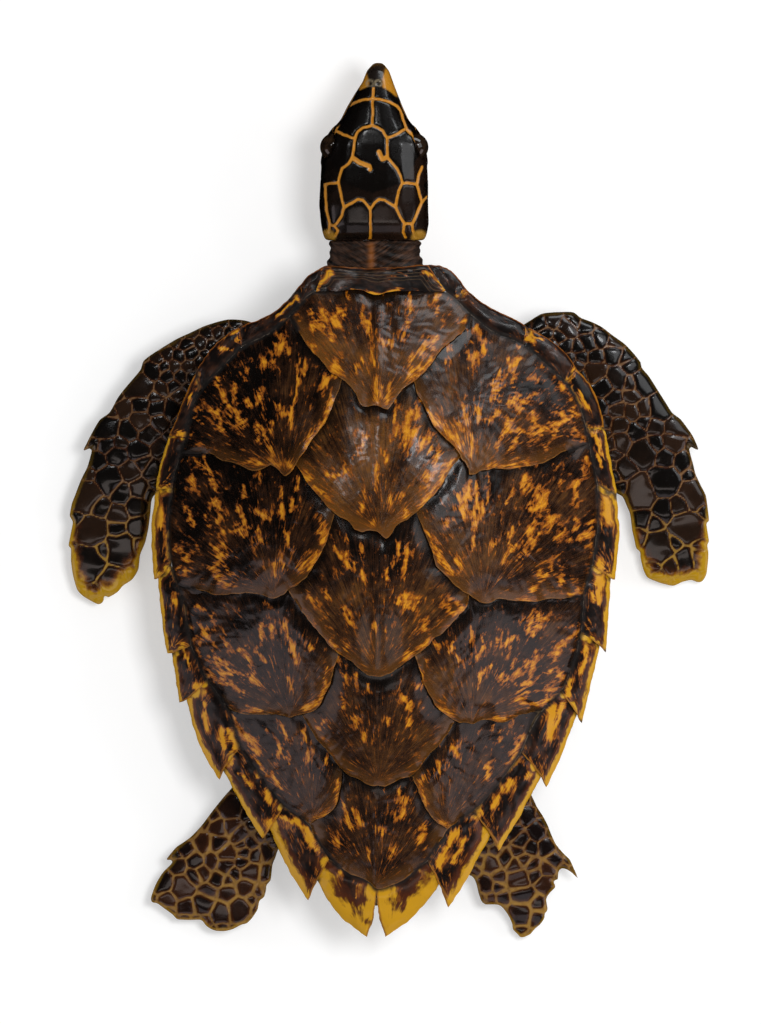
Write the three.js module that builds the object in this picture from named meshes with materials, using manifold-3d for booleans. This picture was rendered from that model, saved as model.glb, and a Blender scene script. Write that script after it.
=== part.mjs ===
// Preserved hawksbill turtle, whole, lying on its plastron with the head toward +Y.
// Millimetres, +Z up. The origin is on the flat underside of the plastron, on the line
// of the shell's median keel. Horn scutes lie on the bony carapace; the body skin fills
// the space between carapace and plastron, and the neck and four flippers leave it there.

import * as THREE from "three";
import { mergeVertices } from "three/addons/utils/BufferGeometryUtils.js";
import Module from "manifold-3d";

const wasm = await Module();
wasm.setup();

// Driving dimensions of the shell
const shellCentre = [0, 40];
const domeRise = 108;
const domeFall = 1.35;
const sideRimHeight = 56;
const frontRim = { from: 60, to: 252, rise: 30 };
const rearRim = { from: -120, to: -280, rise: 5 };
const boneThickness = 6;
const boneReach = 0.885;
const hornLift = 2.4;
const hornThicknessFront = 2.2;
const hornThicknessRear = 4.2;
const rimInnerThickness = 2.4;
const rimCrown = 3;
const rimEdgeThickness = 2;
const rimSkirt = 4.5;
const skirtWidth = 0.12;
const seamGap = 0.25;
const stepReach = 0.93;
const outlineSpacing = 15;
const sectionsPerMarginal = 4;

// Driving dimensions of the underside and the body
const plastronThickness = 6;
const plastronHalfWidth = 92;
const plastronHalfLength = 206;
const plastronMiddle = -10;
const bridge = { reach: 66, rearEnd: -92, rearFull: -50, frontFull: 70, frontEnd: 112 };
const bellyFlatHalf = 86;
const bellyEdgeHalf = 162;
const bellyEdgeLift = 50;
const bellyFront = { from: 150, span: 65, lift: 14 };
const bellyRear = { from: -150, span: 75, lift: 12 };
const bodyReach = 0.84;
const bodyClearance = 1.8;
const bodyTopClearance = 3.5;
const bodyEdgeDrop = 4;
const bodyEdgeHeight = 4;
const meanRimRadius = 180;
const pieceGap = 0.35;

// Driving dimensions of the head
const headRear = 272;
const headRoundness = 2.5;
const eyeRadius = 12;
const eyePlace = { spread: 31.5, y: 346, z: 74 };
const headMiddle = -3;

// Marginal scutes from front to rear. seam and middle lie on the inner edge, tip is the
// rear outer corner of the plate, notch is where the next plate starts, bow is how far
// the outer edge swells past the straight line from notch to tip.
const rimLeft = {
  start: [-42, 251.5],
  end: [-1, -247],
  plates: [
    { seam: [-50, 230], middle: [-55, 227], tip: [-57, 243], notch: [-66, 231], bow: 0 },
    { seam: [-60, 222], middle: [-82, 199], tip: [-101, 206.5], notch: [-111, 202], bow: -4 },
    { seam: [-109, 186], middle: [-127, 167], tip: [-138, 178.5], notch: [-145, 167], bow: 3 },
    { seam: [-142, 152], middle: [-150, 130], tip: [-162, 127], notch: [-167, 116], bow: 1 },
    { seam: [-153, 113], middle: [-161, 90], tip: [-177, 82], notch: [-178, 72], bow: 0 },
    { seam: [-164, 74], middle: [-167, 42], tip: [-179, 0], notch: [-176, 1], bow: 3 },
    { seam: [-165, 12], middle: [-154, -20], tip: [-169, -58], notch: [-165, -59], bow: 1 },
    { seam: [-149, -52], middle: [-143, -66], tip: [-159, -99], notch: [-153, -96], bow: 0 },
    { seam: [-136, -80], middle: [-119, -104], tip: [-127, -160], notch: [-124, -152], bow: 4 },
    { seam: [-110, -133], middle: [-94, -155], tip: [-92, -207], notch: [-87, -199], bow: 1 },
    { seam: [-75, -181], middle: [-54, -194], tip: [-56, -256], notch: [-49, -240], bow: 2 },
    { seam: [-39.5, -223], middle: [-22, -234], tip: [-9, -285], notch: [-4, -272], bow: 5 },
  ],
};
const rimRight = {
  start: [39.5, 252.5],
  end: [-1, -247],
  plates: [
    { seam: [54, 230], middle: [58, 227], tip: [60, 247.5], notch: [71, 232], bow: 1 },
    { seam: [62, 224], middle: [90, 198], tip: [111, 209], notch: [120, 202], bow: -3 },
    { seam: [117, 188], middle: [134, 172], tip: [153, 179], notch: [159, 169], bow: 2 },
    { seam: [150, 158], middle: [161, 138], tip: [179.5, 133], notch: [181, 122], bow: 3 },
    { seam: [166, 122], middle: [171, 96], tip: [191, 72], notch: [191, 66], bow: 0 },
    { seam: [175, 76], middle: [175.5, 44], tip: [189.5, 0], notch: [186.5, 1], bow: 3 },
    { seam: [171, 12], middle: [164, -12], tip: [182.5, -58], notch: [178, -52], bow: 0 },
    { seam: [162.5, -42], middle: [154, -70], tip: [163, -114.5], notch: [159.5, -107], bow: 0 },
    { seam: [146, -89], middle: [128, -107], tip: [134.5, -166], notch: [131, -156], bow: 1 },
    { seam: [114, -137], middle: [98, -160], tip: [96.5, -216.5], notch: [91, -203], bow: 1 },
    { seam: [76, -185], middle: [56, -197], tip: [56, -262], notch: [49.5, -243], bow: 1 },
    { seam: [39, -223.5], middle: [22, -238], tip: [6, -285], notch: [1.5, -273], bow: 4 },
  ],
};

// Seams between the large scutes. Those across the back run left to right, the seams
// beside the midline run from front to rear, the costal seams from the midline outward.
const nuchalRear = [[-50, 230], [-20, 230], [0, 227.5], [15, 231], [54, 230]];
const vertebralSeams = [
  [[-29, 160], [-17, 146], [-9, 137], [6, 135], [15, 145], [29, 159]],
  [[-35, 53], [-23, 47], [-15, 39], [0, 39], [7, 34], [17, 45], [31, 54]],
  [[-32, -58.5], [-18, -69], [-5, -76], [9, -74.5], [21, -66], [30, -60.5]],
  [[-28, -154], [-14, -159], [0, -164], [15, -159], [28, -156.5]],
];
const flankLeft = {
  vertebralToCostal: [
    [[-57, 188.5], [-42, 169], [-29, 160]],
    [[-66, 92], [-56.5, 79], [-47, 68], [-35, 53]],
    [[-71, -8], [-60.5, -25.5], [-45.5, -43.5], [-32, -58.5]],
    [[-60, -108], [-55, -117], [-42, -134], [-28, -154]],
  ],
  costalToVertebral: [
    [[-29, 160], [-35, 141], [-51, 116.5], [-66, 92]],
    [[-35, 53], [-41, 32], [-51, 13], [-71, -8]],
    [[-32, -58.5], [-38, -81], [-47, -97], [-60, -108]],
    [[-28, -154], [-30.5, -170], [-39.5, -185]],
  ],
  costalRear: [
    [[-66, 92], [-72, 82], [-86, 93], [-100, 88], [-129, 99]],
    [[-71, -8], [-82, -15], [-92, -9.5], [-121, -11], [-143, -9.5]],
    [[-60, -108], [-70, -110], [-88, -107], [-102, -106]],
  ],
  rimStations: [5, 17, 25, 34, 42],
};
const flankRight = {
  vertebralToCostal: [
    [[63, 199], [50, 191], [42, 172], [29, 159]],
    [[66, 98.5], [53, 78], [45, 70], [31, 54]],
    [[72, -12], [61, -30], [45, -45.5], [30, -60.5]],
    [[61, -112], [51.5, -127], [37, -146], [28, -156.5]],
  ],
  costalToVertebral: [
    [[29, 159], [38, 138], [51, 116.5], [66, 98.5]],
    [[31, 54], [40.5, 29.5], [54, 5], [72, -12]],
    [[30, -60.5], [36, -81], [46, -98.5], [61, -112]],
    [[28, -156.5], [34, -171], [42, -189]],
  ],
  costalRear: [
    [[66, 98.5], [75.5, 80.5], [90, 90], [113, 91], [142, 100]],
    [[72, -12], [87, -18], [95.5, -14.5], [117.5, -18], [145, -14.5]],
    [[61, -112], [76, -115], [97, -114], [108, -111.5]],
  ],
  rimStations: [5, 17, 26, 34, 42],
};

// Flippers as pairs of points across the blade, leading edge first, root to tip
const frontFlipperLeft = [
  [[-62, 172], [-78, 112]], [[-95, 196], [-106, 106]], [[-122, 207], [-131, 98]],
  [[-150, 198], [-151, 88]], [[-171, 187], [-164, 78]], [[-188, 175], [-173, 70]],
  [[-203, 153], [-179, 64]], [[-215, 134], [-182, 58]], [[-230, 116], [-183, 50]],
  [[-236, 103], [-184, 43]], [[-231.5, 95.5], [-185.5, 37]], [[-238, 80], [-187, 31]],
  [[-247, 51], [-189, 25]], [[-244.5, 44], [-190.5, 19]], [[-248, 27], [-191.5, 12]],
  [[-245.5, 12], [-196, 2]], [[-241, -8], [-206, -7]], [[-235, -14], [-217, -13]],
  [[-228, -19], [-222, -19.5]],
];
const frontFlipperRight = [
  [[66, 168], [82, 112]], [[98, 196], [112, 108]], [[125, 209.5], [137, 101]],
  [[151, 215], [158, 91]], [[171, 206.5], [172, 82]], [[188, 196], [183, 74]],
  [[205, 181], [190, 69]], [[217, 163], [194.5, 66]], [[231, 141], [197.5, 63]],
  [[248, 121], [200, 58]], [[256.5, 105.5], [201.5, 52]], [[250.5, 98], [203, 45.5]],
  [[255, 84], [204, 38]], [[264, 60], [205.5, 32]], [[265.3, 46], [207, 26]],
  [[265.3, 28], [209.5, 19]], [[264, 8], [212, 9]], [[259, -1], [222, -0.5]],
  [[250, -2.8], [234, -4.8]],
];
const hindFlipperLeft = [
  [[-92, -128], [-38, -160]], [[-107, -151], [-54, -184]], [[-121, -171], [-70, -203]],
  [[-134, -187], [-81, -221]], [[-150, -206], [-86, -240]], [[-162, -215], [-90, -249]],
  [[-169, -224], [-94, -256]], [[-167, -229], [-98, -266]], [[-176, -241], [-104, -274]],
  [[-181.5, -256], [-114, -279]], [[-173, -262], [-121, -281]], [[-166, -267.5], [-127, -281.5]],
  [[-159, -272], [-134, -281.3]],
];
const hindFlipperRight = [
  [[96, -132], [40, -166]], [[110, -153], [52, -194]], [[122, -172], [66, -222]],
  [[128, -183], [75, -237]], [[138.5, -203], [79, -245]], [[149.5, -220], [82, -252]],
  [[156.5, -232], [86, -257]], [[151, -236], [91, -260]], [[144, -241], [97.5, -262]],
  [[137, -252], [103, -268]], [[135.5, -265], [107.5, -276]], [[129, -276.5], [110, -282]],
  [[122, -284], [114, -286.5]],
];

// Head cross-sections from the beak tip to the nape
const headSections = [
  { y: 413, left: -3, right: 3.5, bottom: 56, top: 68 },
  { y: 407, left: -8.5, right: 8.5, bottom: 48, top: 77 },
  { y: 398, left: -12, right: 11.7, bottom: 43, top: 82 },
  { y: 388, left: -18.5, right: 15.5, bottom: 40, top: 86 },
  { y: 378, left: -24.5, right: 19.5, bottom: 38, top: 90 },
  { y: 368, left: -29.5, right: 24, bottom: 36, top: 93 },
  { y: 358, left: -38, right: 32, bottom: 34, top: 96 },
  { y: 348, left: -44, right: 38.5, bottom: 33, top: 98 },
  { y: 335, left: -45, right: 39, bottom: 32, top: 99 },
  { y: 318, left: -46, right: 40, bottom: 31, top: 99.5 },
  { y: 300, left: -47, right: 40, bottom: 31, top: 98.5 },
  { y: 285, left: -45.5, right: 40.5, bottom: 32, top: 95 },
  { y: 277, left: -44, right: 39, bottom: 34, top: 90 },
  { y: headRear, left: -42, right: 37, bottom: 36, top: 84 },
];
const neckSections = [
  { y: 271.5, left: -40, right: 35.5, bottom: 37, top: 81 },
  { y: 262, left: -39, right: 34, bottom: 32, top: 77 },
  { y: 252, left: -42, right: 38, bottom: 27, top: 75.5 },
  { y: 238, left: -50, right: 47, bottom: 23, top: 75 },
  { y: 222, left: -60, right: 58, bottom: 21, top: 76 },
  { y: 196, left: -66, right: 64, bottom: 20, top: 78 },
];
const tailSections = [
  { y: -205, left: -24, right: 22, bottom: 20, top: 52 },
  { y: -228, left: -17, right: 15, bottom: 22, top: 48 },
  { y: -246, left: -10, right: 8, bottom: 26, top: 42 },
  { y: -262, left: -4, right: 2, bottom: 30, top: 36 },
];

// Small helpers

function mix(from, to, share) {
  return from + (to - from) * share;
}

function between(first, second, share) {
  return [mix(first[0], second[0], share), mix(first[1], second[1], share)];
}

function smoothStep(low, high, value) {
  const share = THREE.MathUtils.clamp((value - low) / (high - low), 0, 1);
  return share * share * (3 - 2 * share);
}

// A smooth line through flat points, cut in a given number of steps
function smoothLine(points, steps, closed = false) {
  const curve = new THREE.CatmullRomCurve3(
    points.map(([x, y]) => new THREE.Vector3(x, y, 0)), closed, "centripetal");
  return curve.getSpacedPoints(steps).map((point) => [point.x, point.y]);
}

function lineLength(points) {
  let total = 0;
  for (let index = 1; index < points.length; index += 1) {
    const [x, y] = points[index];
    const [lastX, lastY] = points[index - 1];
    total += Math.hypot(x - lastX, y - lastY);
  }
  return total;
}

// Joins open lines end to end in one closed outline, dropping the shared ends
function joinLines(lines) {
  return lines.flatMap((line) => line.slice(0, -1));
}

function reversed(line) {
  return [...line].reverse();
}

// Moves every side of a closed outline inward by the same distance
function insetOutline(outline, distance) {
  const inward = THREE.ShapeUtils.area(outline.map(([x, y]) => ({ x, y }))) > 0 ? 1 : -1;
  return outline.map(([x, y], index) => {
    const [beforeX, beforeY] = outline.at(index - 1);
    const [afterX, afterY] = outline[(index + 1) % outline.length];
    const first = new THREE.Vector2(beforeY - y, x - beforeX).normalize();
    const second = new THREE.Vector2(y - afterY, afterX - x).normalize();
    const miter = first.add(second).normalize();
    const spread = Math.max(Math.abs(miter.dot(second)), 0.5);
    const shift = inward * distance / spread;
    return [x + miter.x * shift, y + miter.y * shift];
  });
}

// Turns a list of vertices and faces in a geometry with its faces pointing out
function solidGeometry(vertices, faces) {
  let volume = 0;
  for (const [a, b, c] of faces) {
    const first = new THREE.Vector3(...vertices[a]);
    const second = new THREE.Vector3(...vertices[b]);
    volume += first.dot(second.cross(new THREE.Vector3(...vertices[c])));
  }
  const outward = volume > 0 ? faces : faces.map(([a, b, c]) => [a, c, b]);
  const geometry = new THREE.BufferGeometry();
  geometry.setAttribute("position", new THREE.Float32BufferAttribute(vertices.flat(), 3));
  geometry.setIndex(outward.flat());
  geometry.computeVertexNormals();
  return geometry;
}

// Skins a row of equal closed sections and closes both ends
function skinSections(sections) {
  const count = sections[0].length;
  const vertices = sections.flat();
  const faces = [];
  for (let row = 0; row < sections.length - 1; row += 1) {
    for (let step = 0; step < count; step += 1) {
      const here = row * count + step;
      const next = row * count + (step + 1) % count;
      faces.push([here, next, next + count], [here, next + count, here + count]);
    }
  }
  const last = (sections.length - 1) * count;
  for (let step = 1; step < count - 1; step += 1) {
    faces.push([0, step + 1, step], [last, last + step, last + step + 1]);
  }
  return solidGeometry(vertices, faces);
}

// A plate in rings about its middle: an upper and a lower face joined round the edge
function ringPlate(outline, middle, upperRings, lowerRings, upperHeight, lowerHeight) {
  const count = outline.length;
  const vertices = [];
  const faces = [];
  const addRing = (share, height) => {
    for (const point of outline) {
      const [x, y] = between(middle, point, share);
      vertices.push([x, y, height(x, y, share)]);
    }
    return vertices.length - count;
  };
  const joinRings = (outer, inner) => {
    for (let step = 0; step < count; step += 1) {
      const next = (step + 1) % count;
      faces.push([outer + step, outer + next, inner + next]);
      faces.push([outer + step, inner + next, inner + step]);
    }
  };
  const closeRing = (ring, height, flip) => {
    vertices.push([...middle, height(...middle, 0)]);
    for (let step = 0; step < count; step += 1) {
      const next = (step + 1) % count;
      const face = [ring + step, ring + next, vertices.length - 1];
      faces.push(flip ? face.reverse() : face);
    }
  };
  const upper = upperRings.map((share) => addRing(share, upperHeight));
  const lower = lowerRings.map((share) => addRing(share, lowerHeight));
  for (let ring = 0; ring < upper.length - 1; ring += 1) {
    joinRings(upper[ring], upper[ring + 1]);
  }
  for (let ring = 0; ring < lower.length - 1; ring += 1) {
    joinRings(lower[ring + 1], lower[ring]);
  }
  joinRings(lower[0], upper[0]);
  closeRing(upper.at(-1), upperHeight, false);
  closeRing(lower.at(-1), lowerHeight, true);
  return solidGeometry(vertices, faces);
}

function solidOf(geometry) {
  const plain = new THREE.BufferGeometry();
  plain.setAttribute("position", geometry.getAttribute("position"));
  plain.setIndex(geometry.getIndex());
  const merged = mergeVertices(plain, 1e-4);
  return new wasm.Manifold(new wasm.Mesh({
    numProp: 3,
    vertProperties: new Float32Array(merged.getAttribute("position").array),
    triVerts: new Uint32Array(merged.getIndex().array),
  }));
}

function geometryOf(solid) {
  const mesh = solid.getMesh();
  const geometry = new THREE.BufferGeometry();
  geometry.setAttribute("position", new THREE.BufferAttribute(mesh.vertProperties, 3));
  geometry.setIndex(new THREE.BufferAttribute(mesh.triVerts, 1));
  geometry.computeVertexNormals();
  return geometry;
}

// The carapace dome: its height depends on how far a point is from the shell's centre
// on the way to the rim, which runs through the tips of the marginal scutes

const tipsOf = (rim) => rim.plates.map((plate) => plate.tip);
const rimCurve = smoothLine([...tipsOf(rimLeft), ...reversed(tipsOf(rimRight))], 360, true);
const rimPolar = rimCurve
  .map(([x, y]) => [x - shellCentre[0], y - shellCentre[1]])
  .map(([x, y]) => [Math.atan2(y, x), Math.hypot(x, y)])
  .sort((first, second) => first[0] - second[0]);

function rimRadius(angle) {
  const after = rimPolar.findIndex((entry) => entry[0] > angle);
  const next = rimPolar.at(after < 0 ? 0 : after);
  const last = rimPolar.at(after < 0 ? -1 : after - 1);
  const span = (next[0] - last[0] + 2 * Math.PI) % (2 * Math.PI);
  const share = ((angle - last[0] + 2 * Math.PI) % (2 * Math.PI)) / Math.max(span, 1e-9);
  return mix(last[1], next[1], Math.min(share, 1));
}

function rimShare(x, y) {
  const alongX = x - shellCentre[0];
  const alongY = y - shellCentre[1];
  return Math.hypot(alongX, alongY) / rimRadius(Math.atan2(alongY, alongX));
}

function rimHeight(y) {
  const front = frontRim.rise * smoothStep(frontRim.from, frontRim.to, y);
  const rear = rearRim.rise * (1 - smoothStep(rearRim.to, rearRim.from, y));
  return sideRimHeight + front + rear;
}

function domeHeight(x, y) {
  const share = rimShare(x, y);
  return rimHeight(y) + domeRise * (1 - domeFall * share ** 2 + (domeFall - 1) * share ** 6);
}

function rimPoint(angle, share) {
  const radius = rimRadius(angle) * share;
  return [shellCentre[0] + radius * Math.cos(angle), shellCentre[1] + radius * Math.sin(angle)];
}

function rimRing(share, steps) {
  return Array.from({ length: steps }, (_, step) => {
    const angle = -Math.PI + (step + 0.5) * 2 * Math.PI / steps;
    return rimPoint(angle, share);
  });
}

// The belly surface is flat under the body and rises toward the bridges and both ends

function bellyHeight(x, y) {
  const side = Math.max((Math.abs(x) - bellyFlatHalf) / (bellyEdgeHalf - bellyFlatHalf), 0);
  const front = Math.max((y - bellyFront.from) / bellyFront.span, 0);
  const rear = Math.max((bellyRear.from - y) / bellyRear.span, 0);
  return bellyEdgeLift * side ** 2 + bellyFront.lift * front ** 2 + bellyRear.lift * rear ** 2;
}

// Stations along the rim: matching points on the inner and the outer edge of the marginals

function rimStations(rim) {
  const inner = [];
  const outer = [];
  const half = sectionsPerMarginal / 2;
  const line = [...rim.plates.flatMap((plate) => [plate.seam, plate.middle]), rim.end];
  const smooth = new THREE.CatmullRomCurve3(
    line.map(([x, y]) => new THREE.Vector3(x, y, 0)), false, "centripetal");
  for (let step = 0; step <= half * (line.length - 1); step += 1) {
    const point = smooth.getPoint(step / (half * (line.length - 1)));
    inner.push([point.x, point.y]);
  }
  let start = rim.start;
  for (const { tip, notch, bow } of rim.plates) {
    const along = new THREE.Vector2(tip[0] - start[0], tip[1] - start[1]).normalize();
    const outward = Math.sign(tip[0] - shellCentre[0]) || 1;
    const swell = [-along.y * bow * outward, along.x * bow * outward];
    outer.push(start);
    for (const share of [1 / 3, 2 / 3]) {
      const [x, y] = between(start, tip, share);
      outer.push([x + swell[0], y + swell[1]]);
    }
    outer.push(tip);
    start = notch;
  }
  outer.push(start);
  return { inner, outer };
}

// Where the line from the inner to the outer edge crosses a given share of the rim
function crossing(inner, outer, share) {
  let low = 0;
  let high = 1;
  for (let turn = 0; turn < 24; turn += 1) {
    const middle = (low + high) / 2;
    if (rimShare(...between(inner, outer, middle)) < share) {
      low = middle;
    } else {
      high = middle;
    }
  }
  return low;
}

// A horn plate on the rim, one section per station. Past the edge of the bone it is
// thick enough to hide the bone's edge, and it thins out toward its own edge. Each
// section starts at its inward corner, so that its ends close without folding over.
function rimPlate(inner, outer) {
  const inset = insetOutline([...inner, ...reversed(outer)], seamGap);
  const innerEdge = inset.slice(0, inner.length);
  const outerEdge = reversed(inset.slice(inner.length));
  const sections = innerEdge.map((from, index) => {
    const to = outerEdge[index];
    const step = THREE.MathUtils.clamp(crossing(from, to, stepReach), 0.2, 0.66);
    const at = (share, lift) => {
      const [x, y] = between(from, to, share);
      return [x, y, domeHeight(x, y) + lift];
    };
    return [
      at(step, hornLift), at(step + skirtWidth, -rimSkirt),
      at(1, hornLift - rimEdgeThickness), at(1, hornLift),
      at(0.84, hornLift + rimCrown), at(0.4, hornLift + rimCrown),
      at(0, hornLift + rimInnerThickness), at(0, hornLift),
    ];
  });
  return skinSections(sections);
}

// A horn scute on the dome, thickest at its rear free edge
function scutePlate(outline) {
  const edge = insetOutline(outline, seamGap);
  const frontY = Math.max(...edge.map((point) => point[1]));
  const rearY = Math.min(...edge.map((point) => point[1]));
  const mean = (axis) => edge.reduce((sum, point) => sum + point[axis], 0) / edge.length;
  const middle = [mean(0) * 0.72, mean(1)];
  const upper = (x, y) => {
    const thickness = mix(hornThicknessRear, hornThicknessFront, smoothStep(rearY, frontY, y));
    return domeHeight(x, y) + hornLift + thickness;
  };
  const lower = (x, y) => domeHeight(x, y) + hornLift;
  return ringPlate(edge, middle, [1, 0.64, 0.3], [1, 0.68, 0.34], upper, lower);
}

const rims = { left: rimStations(rimLeft), right: rimStations(rimRight) };
const flanks = { left: flankLeft, right: flankRight };

function seam(points) {
  return smoothLine(points, Math.max(2, Math.round(lineLength(points) / outlineSpacing)));
}

// The outline of a costal scute: along the midline plates, out along its rear seam,
// forward along the rim and back along its front seam
function costalOutline(side, index) {
  const { vertebralToCostal, costalToVertebral, costalRear, rimStations: stations } = flanks[side];
  const { inner } = rims[side];
  const [frontStation, rearStation] = [stations[index], stations[index + 1]];
  const first = index === 0 ? [inner[frontStation]] : [];
  const last = index === 3 ? [inner[rearStation]] : [];
  const lines = [
    seam([...first, ...vertebralToCostal[index]]),
    seam([...costalToVertebral[index], ...last]),
  ];
  if (index < 3) {
    lines.push(seam([...costalRear[index], inner[rearStation]]));
  }
  lines.push(reversed(inner.slice(frontStation, rearStation + 1)));
  if (index > 0) {
    lines.push(reversed(seam([...costalRear[index - 1], inner[frontStation]])));
  }
  return joinLines(lines);
}

// The seams on one side of a vertebral scute, from front to rear
function vertebralFlank(side, index) {
  const { vertebralToCostal, costalToVertebral, rimStations: stations } = flanks[side];
  const { inner } = rims[side];
  const first = stations[0];
  const last = stations[4];
  if (index === 0) {
    return [inner.slice(0, first + 1), seam([inner[first], ...vertebralToCostal[0]])];
  }
  if (index === 4) {
    return [seam([...costalToVertebral[3], inner[last]]), inner.slice(last)];
  }
  return [seam(costalToVertebral[index - 1]), seam(vertebralToCostal[index])];
}

function vertebralOutline(index) {
  const front = index === 0 ? seam(nuchalRear) : seam(vertebralSeams[index - 1]);
  const rear = index === 4 ? [] : [reversed(seam(vertebralSeams[index]))];
  const right = vertebralFlank("right", index);
  const left = vertebralFlank("left", index);
  return joinLines([front, ...right, ...rear, ...left.reverse().map(reversed)]);
}

function carapaceGeometry() {
  const upper = (x, y) => domeHeight(x, y);
  const lower = (x, y) => domeHeight(x, y) - boneThickness;
  const upperRings = [1, 0.93, 0.82, 0.64, 0.43, 0.22];
  return ringPlate(rimRing(boneReach, 48), shellCentre, upperRings, [1, 0.8, 0.55, 0.28], upper, lower);
}

// Half the width of the plastron at a place along it: two round lobes and the bridges
function plastronHalf(y) {
  const along = (y - plastronMiddle) / plastronHalfLength;
  const lobe = plastronHalfWidth * Math.sqrt(Math.max(1 - along * along, 0));
  const rear = smoothStep(bridge.rearEnd, bridge.rearFull, y);
  const front = 1 - smoothStep(bridge.frontFull, bridge.frontEnd, y);
  return lobe + bridge.reach * rear * front;
}

// A slab that follows the belly surface, trimmed to the outline of the plastron
function plastronGeometry() {
  const columns = [-170, -148, -128, -108, -86, -30, 30, 86, 108, 128, 148, 170];
  const rows = [210, 180, 150, 0, -150, -185, -222];
  const layer = (lift) => rows.map((y) => columns.map((x) => [x, y, bellyHeight(x, y) + lift]));
  const strips = layer(0).map((low, row) => [...low, ...reversed(layer(plastronThickness)[row])]);
  const trim = new THREE.Shape();
  const edge = [];
  for (let y = 195; y >= -215; y -= 410 / 32) {
    edge.push([plastronHalf(y), y]);
  }
  trim.moveTo(...edge[0]);
  for (const [half, y] of edge.slice(1)) {
    trim.lineTo(half, y);
  }
  for (const [half, y] of reversed(edge)) {
    trim.lineTo(-half, y);
  }
  const prism = new THREE.ExtrudeGeometry(trim, { depth: 100, bevelEnabled: false });
  prism.translate(0, 0, -10);
  return geometryOf(solidOf(skinSections(strips)).intersect(solidOf(prism)));
}

// The skin between the shells. grow makes the same body thicker all over.
function bodyGeometry(grow) {
  const outline = rimRing(bodyReach + grow / meanRimRadius, 32);
  const upper = (x, y, share) => {
    const drop = bodyEdgeDrop * smoothStep(0.8, 1, share);
    return domeHeight(x, y) - boneThickness - bodyTopClearance + grow - drop;
  };
  const lower = (x, y, share) => {
    const skin = bellyHeight(x, y) + plastronThickness + bodyClearance - grow;
    return Math.min(skin, upper(x, y, share) - bodyEdgeHeight);
  };
  return ringPlate(outline, shellCentre, [1, 0.9, 0.6, 0.3], [1, 0.8, 0.6, 0.3], upper, lower);
}

// A round section that is square to the body's length
function roundSection({ y, left, right, bottom, top }, steps, power) {
  return Array.from({ length: steps }, (_, step) => {
    const angle = (step + 0.5) * 2 * Math.PI / steps;
    const across = Math.sign(Math.cos(angle)) * Math.abs(Math.cos(angle)) ** (2 / power);
    const up = Math.sign(Math.sin(angle)) * Math.abs(Math.sin(angle)) ** (2 / power);
    return [
      (left + right) / 2 + across * (right - left) / 2,
      y,
      (top + bottom) / 2 + up * (top - bottom) / 2,
    ];
  });
}

function skinRound(rows, steps, power) {
  return skinSections(rows.map((row) => roundSection(row, steps, power)));
}

function eyeCentre(side) {
  const outward = side === "left" ? -1 : 1;
  return [headMiddle + outward * eyePlace.spread, eyePlace.y, eyePlace.z];
}

function eyeGeometry(side, radius) {
  const ball = new THREE.SphereGeometry(radius, 14, 9);
  ball.rotateZ(Math.PI / 2);
  return ball.translate(...eyeCentre(side));
}

function headGeometry() {
  let head = solidOf(skinRound(headSections, 20, headRoundness));
  for (const side of ["left", "right"]) {
    head = head.subtract(solidOf(eyeGeometry(side, eyeRadius + 2 * pieceGap)));
  }
  return geometryOf(head);
}

// A flipper blade skinned between its leading and trailing edges. The section is a
// flattened oval that is thickest a third of the way from the leading edge.
function flipperGeometry(pairs, heights, thicknesses) {
  const profile = [[0, 0.12], [0.14, 0.72], [0.36, 1], [0.68, 0.7], [1, 0.1]];
  const sections = pairs.map(([leading, trailing], index) => {
    const share = index / (pairs.length - 1);
    const height = mix(heights[0], heights[1], share ** 0.7);
    const half = mix(thicknesses[0], thicknesses[1], share ** 0.55) / 2;
    const side = (sign) => profile.map(([across, full]) => {
      const [x, y] = between(leading, trailing, across);
      return [x, y, height + sign * half * full];
    });
    return [...side(1), ...reversed(side(-1))];
  });
  return skinSections(sections);
}

// Materials and pieces

const turtle = new THREE.Group();

function addPiece(name, geometry, material) {
  const mesh = new THREE.Mesh(geometry, material.clone());
  mesh.name = name;
  turtle.add(mesh);
}

function surface(color, roughness) {
  return new THREE.MeshStandardMaterial({ color, roughness, metalness: 0 });
}

const bone = surface("#5a4632", 0.75);
const tortoiseshell = surface("#3a1f10", 0.25);
const rimHorn = surface("#4a2a12", 0.28);
const bellyHorn = surface("#c9a560", 0.4);
const skin = surface("#6a5638", 0.6);
const headHorn = surface("#1c130d", 0.25);
const flipperScales = surface("#2a1c12", 0.3);
const glass = surface("#0c0806", 0.05);

addPiece("carapace", carapaceGeometry(), bone);
addPiece("plastron", plastronGeometry(), bellyHorn);

const tail = solidOf(skinRound(tailSections, 12, 2));
addPiece("body_skin", geometryOf(solidOf(bodyGeometry(0)).add(tail)), skin);

const nuchalEdge = seam(nuchalRear);
const frontEdge = smoothLine([rimLeft.start, [0, 249], rimRight.start], nuchalEdge.length - 1);
addPiece("nuchal_scute", rimPlate(nuchalEdge, frontEdge), rimHorn);
for (let index = 0; index < 5; index += 1) {
  addPiece(`vertebral_scute_${index + 1}`, scutePlate(vertebralOutline(index)), tortoiseshell);
}
for (const side of ["left", "right"]) {
  for (let index = 0; index < 4; index += 1) {
    addPiece(`costal_scute_${side}_${index + 1}`, scutePlate(costalOutline(side, index)), tortoiseshell);
  }
  const { inner, outer } = rims[side];
  for (let index = 0; index < 12; index += 1) {
    const first = index * sectionsPerMarginal;
    const last = first + sectionsPerMarginal + 1;
    const plate = rimPlate(inner.slice(first, last), outer.slice(first, last));
    addPiece(`marginal_scute_${side}_${index + 1}`, plate, rimHorn);
  }
}

addPiece("head", headGeometry(), headHorn);
for (const side of ["left", "right"]) {
  addPiece(`eye_${side}`, eyeGeometry(side, eyeRadius), glass);
}

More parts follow.
